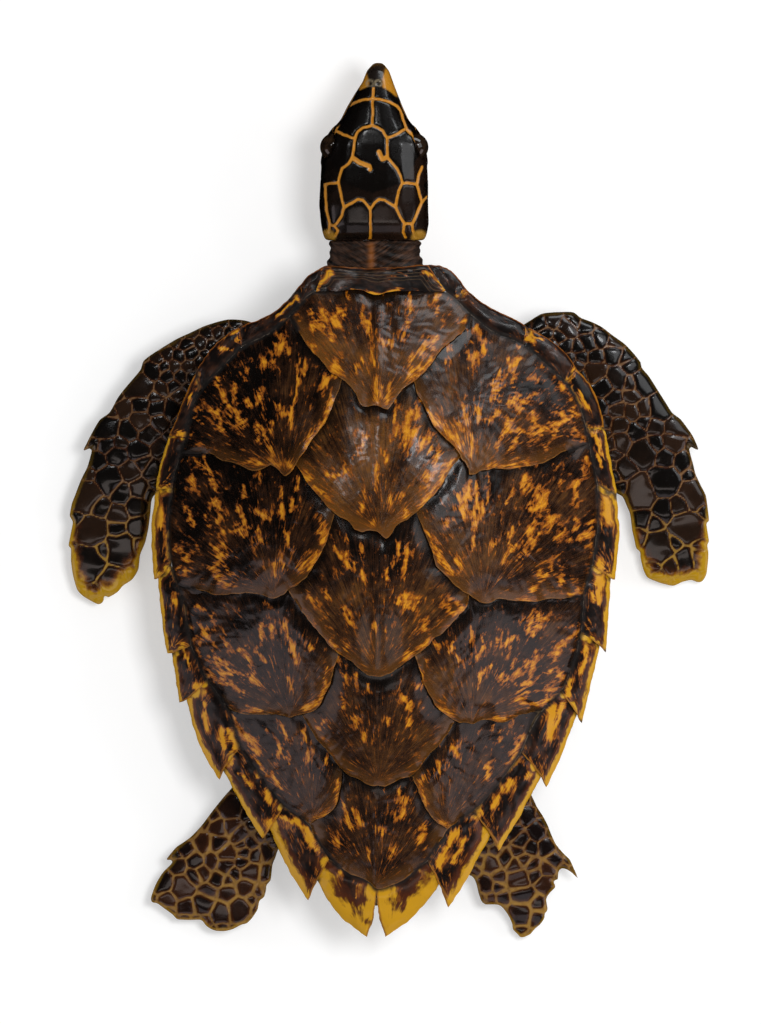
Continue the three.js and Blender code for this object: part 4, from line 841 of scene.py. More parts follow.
# tortoiseshell
tortoise = {
    "black": (0.0035, 0.0022, 0.0016), "brown": (0.026, 0.009, 0.003), "olive": (0.070, 0.027, 0.006),
    "amber": (0.16, 0.058, 0.006), "red": (0.085, 0.018, 0.0025), "orange": (0.27, 0.072, 0.0035),
    "gold": (0.58, 0.235, 0.008), "edge": (0.30, 0.12, 0.020), "groove": (0.008, 0.006, 0.005),
    # streaks round the fan, their length, the shift of the noise, then its detail, roughness, distortion
    "fans": [(13.0, 15.0, 0.0, 4.0, 0.62, 0.8), (30.0, 8.0, 5.0, 3.0, 0.6, 0.6),
             (80.0, 24.0, 9.0, 3.0, 0.65, 0.0)],
}


def tortoiseFinish(name):
    finish = Finish(name)
    angle, radius, seed = finish.attribute("flow")
    freeGap, coverGap, sulcusGap = finish.attribute("edges")
    core, tone, halo = finish.attribute("paint")
    place = finish.place()
    broad, narrow, fine = (
        finish.noise(finish.join(angle * around, radius / length, seed + shift), 1.0, *character)
        for around, length, shift, *character in tortoise["fans"])
    cloud = finish.noise(place, 36.0, 3.0, 0.55)
    spots = finish.noise(place, 240.0, 3.0, 0.6)
    grain = finish.noise(place, 1100.0, 2.0, 0.5)
    depth = 0.5 + (fine - 0.5) * 0.75 + (cloud - 0.5) * 0.75
    depth = depth + (broad - 0.5) * 0.5 + (spots - 0.5) * 0.3 + tone
    body = finish.ramp(depth, [
        (0.36, tortoise["black"]), (0.56, tortoise["brown"]), (0.74, tortoise["olive"]),
        (0.95, tortoise["amber"])])
    # painted shade: along the covered front edge, under the plate before it, the body is darkened towards
    # black
    shade = (coverGap + (fine - 0.5) * 10.0 + (cloud - 0.5) * 12.0).between(1.0, 11.0)
    body = finish.blend((1.0 - shade) * 0.92, body, tortoise["black"])
    near = 1.0 - (freeGap + (fine - 0.5) * 16.0 + (cloud - 0.5) * 18.0).between(0.5, 11.0)
    warm = near * (tone * 1.5 + 0.4).clamped()
    body = finish.blend(warm * 0.75, body, tortoise["amber"])
    streaks = (broad * 0.5 + narrow * 0.5 - 0.5) * 1.7 + (spots - 0.5) * 0.25
    # fewer flecks inside the painted shade band
    heat = 0.39 + streaks * 1.2 + core * 0.27 + halo * 0.16 + tone * 0.10 - (1.0 - shade) * 0.10
    fleck = finish.ramp(heat, [
        (0.50, tortoise["red"]), (0.66, tortoise["orange"]), (0.90, tortoise["gold"])])
    colour = finish.blend(heat.between(0.47, 0.66), body, fleck)
    ragged = freeGap + (spots - 0.5) * 1.8 + (fine - 0.5) * 1.6
    rim = 1.0 - ragged.between(0.2, 1.1)
    colour = finish.blend(rim * 0.65, colour, tortoise["edge"])
    groove = 1.0 - (sulcusGap + (spots - 0.5) * 1.8).between(0.7, 2.6)
    colour = finish.blend(groove * 0.9, colour, tortoise["groove"])
    roughness = 0.17 + 0.10 * cloud + 0.10 * grain + 0.35 * groove
    relief = fine * 0.5 + grain * 0.10 + broad * 0.4 + spots * 0.25
    normal = finish.bump(relief, 0.22, 0.4 * mm)
    return finish.output(colour, roughness, normal, {
        "Coat Weight": 0.3, "Coat Roughness": 0.1, "Specular IOR Level": 0.45})


print("horn on the back")
backHorn = tortoiseFinish("tortoiseshell")
backNodes = [f"vertebral_scute_{index}" for index in range(1, 6)]
backNodes += [f"costal_scute_{side}_{index}" for side in ("left", "right") for index in range(1, 5)]
roughScutes = [roughScute(node) for node in backNodes]
seamSamples = np.vstack([rough["starts"] for rough in roughScutes])
# the scutes' outer edges lie on the rim plates and stay, save at the middle of the front and rear
onSeam = rimShare(seamSamples[:, 0], seamSamples[:, 1]) < scute["seamShare"]
onSeam |= ((np.abs(seamSamples[:, 0]) < scute["endWidth"])
           & (np.abs(seamSamples[:, 1] - scute["endMiddle"]) > scute["endReach"]))
seamSamples = seamSamples[onSeam][::2]
for rough in roughScutes:
    finishScute(rough, backHorn, seamSamples)
print("seam samples", len(seamSamples),
      "points a scute", [len(rough["obj"].data.vertices) for rough in roughScutes])


# the horn on the rim
rimHorn = {
    "levels": 3, "crease": 42, "split": 3.2, "crown": (0.5, 16), "grain": (0.25, 6),
    "seamDip": 0.9, "seamWidth": 2.6, "sulcusDip": 2.0, "sulcusWidth": 4.5,
    "outer": 0.45, "outerNuchal": 0.6, "inner": -0.6, "nuchalFront": 240,
    "bands": {"nuchal": 0.7, "left": [0.7, 0.7, 0.8, 1.2, 2.2, 4.0, 2.8, 3.3, 4.2, 4.4, 7, 13],
              "right": [0.8, 0.7, 0.7, 1.3, 2.6, 3.8, 3.5, 4.6, 4.3, 4.6, 7, 15]},
    "dark": (0.005, 0.003, 0.0025), "brown": (0.036, 0.012, 0.005), "gold": (0.55, 0.245, 0.006),
    "orange": (0.26, 0.075, 0.004), "halo": (0.085, 0.018, 0.003), "yellow": (0.52, 0.262, 0.004),
    "seam": (0.30, 0.12, 0.010), "groove": (0.009, 0.007, 0.006), "growth": (0.13, 0.075, 0.035),
    "dust": (0.16, 0.12, 0.085),
}


def makeRimPlate(node, material, band):
    isNuchal = node == "nuchal_scute"
    obj = copyNode(node, node + "_horn")
    points = readPoints(obj)
    height = points[:, 2] - domeHeight(points[:, 0], points[:, 1])
    markSides(obj, height > rimHorn["split"])
    creaseSharpEdges(obj, rimHorn["crease"])
    subdivide(obj, rimHorn["levels"])
    points = closeGaps(obj, readPoints(obj))
    side = readValue(obj, "side")
    top = smoothStep(0.2, 0.9, side)
    starts, ends = plateOutline(obj, points)
    middle, normal = outwardNormals(starts, ends, points[:, :2].mean(axis=0))
    radial = middle - np.array(dome["centre"])
    radial /= np.linalg.norm(radial, axis=1)[:, None]
    turn = -1.0 if middle[:, 0].mean() > 0 else 1.0
    backward = np.stack([-radial[:, 1], radial[:, 0]], axis=1) * turn
    outward = (normal * radial).sum(axis=1)
    rearward = (normal * backward).sum(axis=1)
    isInner = outward < rimHorn["inner"]
    if isNuchal:
        isOuter = (outward > rimHorn["outerNuchal"]) & (middle[:, 1] > rimHorn["nuchalFront"])
        isRear = isInner
        isFront = ~(isOuter | isInner)
    else:
        isOuter = outward > rimHorn["outer"]
        isRear = ~(isOuter | isInner) & (rearward > 0)
        isFront = ~(isOuter | isInner) & (rearward <= 0)
    flat = points[:, :2]
    outerGap, frontGap, innerGap, rearGap = (
        segmentDistance(flat, starts[chosen], ends[chosen])
        for chosen in (isOuter, isFront, isInner, isRear))
    tipIndex = np.argmin(middle[:, 1] - 0.5 * np.abs(middle[:, 0]))
    writeFlow(obj, flat, middle[tipIndex], pieceSeed(node, 19, 2.3))
    none = np.full(len(points), farAway)
    writeVector(obj, "edges", outerGap, none, none if isNuchal else innerGap)
    writeVector(obj, "plate", np.full(len(points), float(band)), none if isNuchal else rearGap, none)
    relief = -rimHorn["seamDip"] * hill(frontGap, rimHorn["seamWidth"])
    if not isNuchal:
        relief -= rimHorn["sulcusDip"] * hill(innerGap, rimHorn["sulcusWidth"])
    level = points * (1, 1, 0)
    for (amount, size), rippleSeed in ((rimHorn["crown"], 8), (rimHorn["grain"], 9)):
        relief += amount * ripple(level, size, rippleSeed)
    points[:, 2] += relief * top
    if isNuchal or node.endswith("_12") or node.endswith("_1"):
        points[:, :2] = seamShift(flat, seamSamples)
    points = waver(points)
    writePoints(obj, points)
    hand = "left" if "left" in node else "right"
    paintPlate(obj, points[:, :2], node if isNuchal else "rim_" + hand)
    finishPiece(obj, node, material, 50)


def plateOutline(obj, points):
    # the plan outline of a piece: the edges where its faces turn from facing up to facing down
    mesh = obj.data
    facing = np.array([polygon.normal.z > 0 for polygon in mesh.polygons])
    loopEdges = np.empty(len(mesh.loops), dtype=int)
    mesh.loops.foreach_get("edge_index", loopEdges)
    loopTotals = np.array([polygon.loop_total for polygon in mesh.polygons])
    owner = np.repeat(np.arange(len(mesh.polygons)), loopTotals)
    ups = np.zeros(len(mesh.edges), dtype=int)
    np.add.at(ups, loopEdges, facing[owner].astype(int))
    edges = readEdges(obj)[ups == 1]
    starts, ends = points[edges[:, 0], :2], points[edges[:, 1], :2]
    # subdividing can leave edges without length, and they have no direction
    keep = np.linalg.norm(ends - starts, axis=1) > 1e-3
    return starts[keep], ends[keep]


def rimFinish():
    finish = Finish("rim horn")
    angle, radius, seed = finish.attribute("flow")
    outerGap, _, innerGap = finish.attribute("edges")
    band, rearGap, _ = finish.attribute("plate")
    core, _, glow = finish.attribute("paint")
    place = finish.place()
    broad = finish.noise(finish.join(angle * 9.0, radius / 15.0, seed), 1.0, 3.0, 0.6, 0.6)
    lines = finish.noise(finish.join(outerGap * 0.9, rearGap * 0.05, seed), 1.0, 3.0, 0.6)
    cloud = finish.noise(place, 70.0, 3.0, 0.6)
    spots = finish.noise(place, 260.0, 3.0, 0.6)
    grain = finish.noise(place, 900.0, 2.0, 0.5)
    body = finish.blend((cloud * 0.6 + broad * 0.4).between(0.44, 0.66), rimHorn["dark"], rimHorn["brown"])
    heat = 0.34 + (broad * 0.6 + lines * 0.4 - 0.5) * 1.7 + (spots - 0.5) * 0.25
    heat = heat + core * 0.34 + glow * 0.16
    heat = heat + (0.10 * (1.0 - rearGap.between(0.0, 10.0)) + 0.08) * band.between(1.0, 5.0)
    heat = heat - 0.08 * band.between(8.0, 12.0)
    gold = finish.ramp(heat, [(0.52, rimHorn["halo"]), (0.64, rimHorn["orange"]), (0.80, rimHorn["gold"])])
    colour = finish.blend(heat.between(0.48, 0.60), body, gold)
    edge = outerGap + (cloud - 0.5) * band * 1.1 + (broad - 0.5) * band * 1.2 + (spots - 0.5) * 0.8
    halo = 1.0 - (edge / band).between(0.8, 1.7)
    yellow = 1.0 - (edge / band).between(0.55, 0.95)
    colour = finish.blend(halo * 0.85, colour, rimHorn["halo"])
    edgeColour = finish.blend(band.between(0.9, 2.2), rimHorn["orange"], rimHorn["yellow"])
    colour = finish.blend(yellow, colour, edgeColour)
    seam = (1.0 - (rearGap + (spots - 0.5) * 1.4).between(0.5, 1.6)) * band.between(0.6, 3.0)
    colour = finish.blend(seam * 0.8, colour, rimHorn["seam"])
    growth = (outerGap * 2.5 + (cloud - 0.5) * 1.6).math("SINE").between(0.70, 0.98)
    growth = growth * rearGap.between(90.0, 98.0)
    growth = growth * outerGap.between(2.0, 3.0) * (1.0 - outerGap.between(10.0, 13.0))
    colour = finish.blend(growth * 0.6, colour, rimHorn["growth"])
    groove = 1.0 - (innerGap + (spots - 0.5) * 2.4).between(0.8, 4.0)
    colour = finish.blend(groove * 0.85, colour, rimHorn["groove"])
    dust = 1.0 - (innerGap + (spots - 0.5) * 2.0).between(0.2, 0.9)
    dust = dust * (cloud + (spots - 0.5)).between(0.42, 0.58)
    colour = finish.blend(dust * 0.7, colour, rimHorn["dust"])
    roughness = 0.2 + 0.14 * cloud + 0.08 * grain + 0.3 * groove
    normal = finish.bump(broad * 0.3 + lines * 0.4 + cloud * 0.5 + grain * 0.12, 0.25, 0.4 * mm)
    return finish.output(colour, roughness, normal, {
        "Coat Weight": 0.2, "Coat Roughness": 0.12, "Specular IOR Level": 0.4})


print("horn on the rim")
rimMaterial = rimFinish()
makeRimPlate("nuchal_scute", rimMaterial, rimHorn["bands"]["nuchal"])
for side in ("left", "right"):
    for index, band in enumerate(rimHorn["bands"][side], start=1):
        makeRimPlate(f"marginal_scute_{side}_{index}", rimMaterial, band)


# scales over a surface
def remesh(obj, size):
    chooseOnly(obj)
    modifier = obj.modifiers.new("remesh", "REMESH")
    modifier.mode = "VOXEL"
    modifier.voxel_size = size * mm
    bpy.ops.object.modifier_apply(modifier=modifier.name)


def relax(obj, turns, factor):
    chooseOnly(obj)
    modifier = obj.modifiers.new("relax", "SMOOTH")
    modifier.iterations = turns
    modifier.factor = factor
    bpy.ops.object.modifier_apply(modifier=modifier.name)


def scaleGaps(points, seeds, sizes, block=4000):
    nearest = np.zeros(len(points), dtype=int)
    gap = np.zeros(len(points))
    for first in range(0, len(points), block):
        part = points[first:first + block, None, :] - seeds[None]
        away = np.sqrt((part ** 2).sum(axis=2)) - sizes[None]
        order = np.argpartition(away, 1, axis=1)[:, :2]
        rows = np.arange(len(away))
        firstAway, secondAway = away[rows, order[:, 0]], away[rows, order[:, 1]]
        swap = secondAway < firstAway
        nearest[first:first + block] = np.where(swap, order[:, 1], order[:, 0])
        gap[first:first + block] = np.abs(secondAway - firstAway)
    return gap, nearest


def scaleFinish(name, look):
    finish = Finish(name)
    gap, tone, edgeGap = finish.attribute("scales")
    tip = finish.value("tip")
    place = finish.place()
    cloud = finish.noise(place, 90.0, 3.0, 0.6)
    spots = finish.noise(place, 300.0, 3.0, 0.6)
    grain = finish.noise(place, 900.0, 2.0, 0.6)
    drift = finish.noise(place, 24.0, 3.0, 0.6)
    plate = finish.blend((tone * 0.7 + cloud * 0.5).between(0.45, 1.05), look["dark"], look["brown"])
    wobble = gap + (spots - 0.5) * 2.0 + (cloud - 0.5) * 1.6
    thick = look["drift"] * (drift - 0.5)
    wide = look["seam"] * (1.0 + tip * 0.7 + thick).clamped(0.35, 3.0)
    fringe = 1.0 - (wobble / wide).between(1.2, 3.4)
    colour = finish.blend(fringe * 0.8, plate, look["fringe"])
    seam = 1.0 - (wobble / wide).between(0.45, 1.6)
    pale = (cloud * 0.3 + spots * 0.3 + drift * 0.4).between(0.40, 0.60)
    seamColour = finish.blend(pale, look["ochre"], look["tan"])
    seamColour = finish.blend(tip * 0.7, seamColour, look["yellow"])
    colour = finish.blend(seam, colour, seamColour)
    glow = (tip * 1.35 - edgeGap / 13.0 + (cloud - 0.5) * 1.5 + (tone - 0.5) * 0.4)
    colour = finish.blend(glow.between(0.15, 0.50) * 0.9, colour, look["fringe"])
    colour = finish.blend(glow.between(0.40, 0.75) * 0.9, colour, look["orange"])
    colour = finish.blend(glow.between(0.62, 0.95), colour, look["yellow"])
    rim = 1.0 - (edgeGap + (cloud - 0.5) * 4.0 + (drift - 0.5) * 5.0).between(0.4, look["rim"])
    colour = finish.blend(rim * (tip * 1.6 + 0.12).clamped(), colour, look["yellow"])
    roughness = 0.16 + 0.3 * seam + 0.12 * cloud
    normal = finish.bump(cloud * 0.5 + grain * 0.2, 0.3, 0.4 * mm)
    return finish.output(colour, roughness, normal, {"Coat Weight": 0.5, "Coat Roughness": 0.08})


# flippers
flippers = {
    "front_flipper_left": {
        "outline": [
            (-62, 172), (-80, 186), (-101, 206), (-120, 208.5), (-138, 203.6), (-150, 198), (-161, 193),
            (-171, 187), (-182, 180), (-188, 175), (-190, 168.5), (-197, 160), (-203, 153),
            (-208.5, 145.6), (-215, 134), (-223, 128), (-230, 116), (-234, 108), (-236.3, 103.2),
            (-229, 106), (-230.6, 98), (-233, 90), (-238, 80), (-243, 67), (-245.3, 61), (-247, 51),
            (-244.4, 47), (-246, 38), (-248, 27.3), (-246, 25.6), (-246, 15), (-244.4, 3.6), (-241, -8),
            (-235.5, -13.6), (-224, -19.8), (-220, -17), (-219.6, -12), (-216, -14), (-208.5, -9.5),
            (-204.4, -4.6), (-197, 0.3), (-192, 8.5), (-190.6, 20), (-186.5, 30), (-184, 41),
            (-182.4, 52.6), (-180, 67), (-160, 82), (-130, 100), (-104, 108), (-78, 114)],
        "spine": [
            (-100, 151, 43, 27), (-126, 152, 38.7, 23.9), (-167, 132, 34.1, 20.2), (-191, 108, 30.2, 17.2),
            (-206, 83, 26.7, 14.7), (-208, 67, 23.5, 12.5), (-218, 38, 20.4, 10.4), (-220, 20, 17.5, 8.5),
            (-224, -8, 14.7, 6.7), (-225, -19, 12, 5)],
        "large": [
            (-192, 155, 6), (-219, 122, 6), (-234.6, 67, 8), (-233, 12, 9), (-205, 23, 7), (-230, 39.5, 6),
            (-213, 0, 6), (-216, 79, 5)],
        "scales": [
            (-182, 168), (-204, 137.5), (-191, 141), (-201, 119.5), (-190, 128), (-217.5, 109),
            (-208.5, 100), (-226.5, 96), (-192, 103), (-183, 116), (-174, 126), (-176, 137.5), (-166, 136),
            (-199, 87), (-174, 106), (-179, 87), (-206, 70), (-223, 59), (-191, 72), (-193, 59),
            (-208.5, 52.6), (-192, 43), (-191, 26)],
        "width": 26, "spacing": 10,
    },
    "front_flipper_right": {
        "outline": [
            (64, 170), (90, 188), (118.6, 205.6), (125.5, 210), (131.6, 213.3), (142, 214.4), (156, 214.4),
            (162, 210), (171.4, 206.4), (179, 202.6), (188, 195.7), (197.4, 189), (205, 181),
            (210.4, 174), (211, 170), (217, 163), (224, 152), (231, 141), (235.7, 133.7), (242, 129),
            (248, 121.4), (252.5, 114.6), (256.8, 103.8), (249, 107.4), (250, 101.6), (252.5, 92.4),
            (254.4, 84.7), (258.7, 75.5), (262.5, 68), (264, 58.7), (265.2, 47.2), (263, 46),
            (265.3, 30.4), (263.7, 28.8), (264.8, 20.4), (263.3, 5), (260, -1), (256.4, -2), (251, 0),
            (243.4, -1.8), (236.5, -4.8), (226.5, -2.5), (221.6, -0.7), (215.8, 2), (212.7, 8),
            (210.4, 17.4), (210, 23), (207, 25), (205, 34), (203.6, 40), (202, 52.6), (199, 60),
            (196, 66.7), (190, 70), (172, 82), (140, 100), (112, 108), (84, 113)],
        "spine": [
            (104, 152, 43, 27), (131, 155, 38.7, 23.9), (171, 144, 34.1, 20.2), (197, 125, 30.2, 17.2),
            (214, 102, 26.7, 14.7), (229, 78, 23.5, 12.5), (229.5, 61, 20.4, 10.4), (236, 36, 17.5, 8.5),
            (238, 8.5, 14.7, 6.7), (242, -4, 12, 5)],
        "large": [
            (212.7, 158, 6), (226.5, 138, 6), (238, 122, 5), (236, 111.5, 4), (212.7, 103, 5),
            (210, 69, 7), (230, 78.6, 6), (254, 68, 7), (248.7, 42, 7), (224, 25, 7), (246, 14, 5),
            (258.7, 16, 4)],
        "scales": [
            (128.6, 205.6), (139, 209.5), (151.5, 202), (157.6, 208.7), (167, 204), (178, 194), (169, 190),
            (191, 189), (190, 183), (204, 172), (200, 180), (192, 161), (203.6, 157), (204, 148),
            (213.5, 137.5), (203.6, 135), (191, 136), (188, 144), (180, 153.6), (173, 166),
            (177.5, 138), (223, 123), (206.6, 118), (194, 124.5), (244, 95), (230, 99), (222, 109),
            (195, 111), (197, 89), (242.6, 60), (228, 55.6), (211, 48), (236, 11), (208, 33)],
        "width": 26, "spacing": 10,
    },
    "hind_flipper_left": {
        "outline": [
            (-91, -128), (-104, -148), (-116.7, -166), (-122, -172), (-128.6, -180), (-134, -187),
            (-141.5, -197), (-150, -206), (-157, -211), (-162, -214.5), (-170, -224.6),
            (-163.4, -223.4), (-166, -228), (-172, -234), (-176, -240), (-179, -246), (-182, -255),
            (-181, -258.5), (-177, -259), (-173, -262), (-164, -268.6), (-161, -272), (-150.6, -272.5),
            (-141.5, -272.5), (-138, -277), (-134, -279.7), (-129.5, -281.3), (-122, -281.3),
            (-116, -279.7), (-109, -276), (-105.6, -275.5), (-101, -271), (-96.5, -264),
            (-95, -256.7), (-91.4, -254.4), (-89.6, -248), (-89.4, -244), (-86, -240.6), (-84.5, -228),
            (-82, -222), (-79.7, -215.4), (-68, -200), (-52, -180), (-40, -162)],
        "spine": [
            (-65, -144, 40, 28), (-95.5, -187, 31.2, 19), (-118, -223, 25.6, 14.9),
            (-131.5, -240, 20.9, 11.6), (-140, -257.5, 16.7, 8.8), (-148, -272, 12.7, 6.3)],
        "large": [
            (-118.5, -181, 5), (-171, -242.5, 4), (-158, -246.6, 5), (-140, -259.5, 4), (-126, -267, 4),
            (-111, -263.6, 5)],
        "scales": [
            (-128.6, -198), (-139.6, -211), (-154, -215), (-128.6, -212), (-122, -219), (-160, -229.6),
            (-146, -226), (-147, -236.5), (-140.5, -234), (-133, -226), (-123, -229.6), (-129.5, -239),
            (-136, -249), (-167.6, -256), (-153, -262), (-121, -251), (-106.6, -247), (-103, -234),
            (-88, -218), (-87, -235), (-111, -203), (-117, -197)],
        "width": 22, "spacing": 9,
    },
    "hind_flipper_right": {
        "outline": [
            (95, -131), (108, -150), (122, -171), (124.6, -176), (127.4, -182), (132, -189), (135.7, -196),
            (138.4, -203), (142, -211), (145.8, -216), (149.4, -220), (153.6, -224), (156.8, -231),
            (160.2, -239), (155.4, -234.6), (150.8, -231.7), (146.7, -231), (144.4, -234),
            (144, -240), (140, -240.6), (142.3, -245.7), (140, -248.4), (136.6, -252), (134.7, -256),
            (136, -264.5), (133.6, -267), (133.4, -271), (130, -276), (125.6, -279.7), (122, -284),
            (117, -286.3), (114, -286.4), (112, -284), (108, -280), (107.7, -276), (105.4, -270.5),
            (102.6, -266), (99.4, -262), (97, -260.4), (91.6, -260), (86, -260), (83, -257.6),
            (80.6, -251), (79, -244), (77, -239), (75, -237), (71.4, -235), (62, -214), (52, -192),
            (42, -168)],
        "spine": [
            (68, -149, 40, 28), (94, -197, 31.2, 19), (108.7, -224, 25.6, 14.9),
            (118, -246, 19.5, 11), (121, -262, 15, 7.8), (120, -280, 10.5, 5)],
        "large": [
            (112.7, -240, 4), (134, -243, 3), (117, -252.6, 4), (114.5, -267.7, 5), (128, -272, 3)],
        "scales": [
            (119, -188), (127.4, -201.6), (115, -209), (122, -214.5), (134, -215), (112, -218.6),
            (108.6, -201.6), (90.7, -227), (110, -228), (123.7, -228.7), (117, -224), (135.7, -232),
            (141, -225.5), (86.5, -244), (126.5, -236.5), (102.6, -222.7), (127.4, -259.5)],
        "width": 22, "spacing": 9,
    },
}

slab = {
    "step": 2.0, "depth": 6, "voxel": 1.25, "spineSoftness": 60, "edgeShare": 0.16, "largeFrom": 2.0,
    "wobble": (7, 1.2, 41), "dome": 0.7, "domeWidth": 5, "seam": 0.5, "seamWidth": 1.1, "edgeFade": 4,
    "uneven": (0.5, 18, 4), "relax": (1, 0.3), "tangent": 0.32,
    "rowStep": 0.87, "jitter": 0.22, "clear": 0.72,
}

flipperLooks = {
    "front": {
        "dark": (0.004, 0.003, 0.0025), "brown": (0.022, 0.010, 0.005), "tan": (0.20, 0.10, 0.032),
        "ochre": (0.10, 0.040, 0.008), "fringe": (0.040, 0.010, 0.003), "orange": (0.20, 0.070, 0.004),
        "yellow": (0.40, 0.22, 0.005), "seam": 0.8, "drift": 0.8, "rim": 3.0, "tipHigh": 90.0,
        "tipLow": -10.0,
    },
    "hind": {
        "dark": (0.006, 0.003, 0.0025), "brown": (0.030, 0.010, 0.004), "tan": (0.27, 0.135, 0.020),
        "ochre": (0.085, 0.028, 0.006), "fringe": (0.055, 0.015, 0.003), "orange": (0.20, 0.080, 0.008),
        "yellow": (0.38, 0.20, 0.007), "seam": 1.35, "drift": 5.0, "rim": 3.0, "tipHigh": -150.0,
        "tipLow": -470.0,
    },
}


def smoothOutline(corners, spacing):
    corners = np.array(corners, dtype=float)
    count = len(corners)
    line = []
    for index in range(count):
        before, start, end, after = (corners[(index + shift) % count] for shift in (-1, 0, 1, 2))
        steps = max(1, int(round(np.linalg.norm(end - start) / spacing)))
        tangentStart, tangentEnd = (end - before) * slab["tangent"], (after - start) * slab["tangent"]
        for share in np.arange(steps) / steps:
            squared, cubed = share ** 2, share ** 3
            line.append((2 * cubed - 3 * squared + 1) * start + (cubed - 2 * squared + share) * tangentStart
                        + (3 * squared - 2 * cubed) * end + (cubed - squared) * tangentEnd)
    return np.array(line)


def makeSlab(name, line):
    bpy.ops.mesh.primitive_circle_add(vertices=len(line), radius=0.1, fill_type="NGON")
    obj = bpy.context.active_object
    obj.name = name
    writePoints(obj, np.column_stack([line, np.full(len(line), -slab["depth"] / 2)]))
    bpy.ops.object.mode_set(mode="EDIT")
    bpy.ops.mesh.select_all(action="SELECT")
    bpy.ops.mesh.extrude_region_move(TRANSFORM_OT_translate={"value": (0, 0, slab["depth"] * mm)})
    bpy.ops.mesh.select_all(action="SELECT")
    bpy.ops.mesh.normals_make_consistent(inside=False)
    bpy.ops.object.mode_set(mode="OBJECT")
    return obj


def fillSeeds(seeds, sizes, line, spacing):
    # small scales in staggered rows, wherever no listed scale is near
    low, high = line.min(axis=0), line.max(axis=0)
    extra = []
    row = 0
    for y in np.arange(low[1], high[1], spacing * slab["rowStep"]):
        row += 1
        for x in np.arange(low[0] + (row % 2) * spacing / 2, high[0], spacing):
            spot = np.array([x, y]) + rng.uniform(-slab["jitter"], slab["jitter"], 2) * spacing
            away = np.linalg.norm(seeds - spot, axis=1) - sizes
            if away.min() > spacing * slab["clear"]:
                extra.append(spot)
    return np.array(extra).reshape(-1, 2)


def makeFlipper(node, material):
    design = flippers[node]
    line = smoothOutline(design["outline"], slab["step"])
    obj = makeSlab(node + "_dressed", line)
    remesh(obj, slab["voxel"])
    points = readPoints(obj)
    flat = points[:, :2]
    edgeGap = segmentDistance(flat, line, np.roll(line, -1, axis=0))
    spine = np.array(design["spine"])
    away = ((flat[:, None, :] - spine[None, :, :2]) ** 2).sum(axis=2) + slab["spineSoftness"]
    weight = away ** -2.0
    weight /= weight.sum(axis=1)[:, None]
    middleZ, thick = weight @ spine[:, 2], weight @ spine[:, 3]
    inward = np.clip(edgeGap / design["width"], 0, 1)
    full = slab["edgeShare"] + (1 - slab["edgeShare"]) * np.sqrt(1 - (1 - inward) ** 2)
    level = np.clip(points[:, 2] / (slab["depth"] / 2), -1, 1)
    large = np.array(design["large"], dtype=float)
    seeds = np.vstack([large[:, :2], np.array(design["scales"], dtype=float)])
    sizes = np.concatenate([large[:, 2], np.full(len(design["scales"]), slab["largeFrom"])])
    extra = fillSeeds(seeds, sizes, line, design["spacing"])
    seeds = np.vstack([seeds, extra])
    sizes = np.concatenate([sizes, np.zeros(len(extra))])
    gap, nearest = scaleGaps(wobble(points, *slab["wobble"]), seeds, sizes)
    writeVector(obj, "scales", gap, rng.random(len(seeds))[nearest], edgeGap)
    look = flipperLooks[node.split("_")[0]]
    writeValue(obj, "tip", 1 - smoothStep(look["tipLow"], look["tipHigh"], flat[:, 1]))
    domed = slab["dome"] * smoothStep(0, slab["domeWidth"], gap)
    domed -= slab["seam"] * hill(gap, slab["seamWidth"])
    half = thick / 2 * full + domed * smoothStep(0, slab["edgeFade"], edgeGap)
    uneven, unevenSize, unevenSeed = slab["uneven"]
    points[:, 2] = middleZ + level * half + uneven * ripple(points, unevenSize, unevenSeed)
    writePoints(obj, points)
    relax(obj, *slab["relax"])
    finishPiece(obj, node, material, 60)


print("flippers")
flipperMaterials = {
    pair: scaleFinish(pair + " flipper scales", look) for pair, look in flipperLooks.items()}
for node in flippers:
    makeFlipper(node, flipperMaterials[node.split("_")[0]])


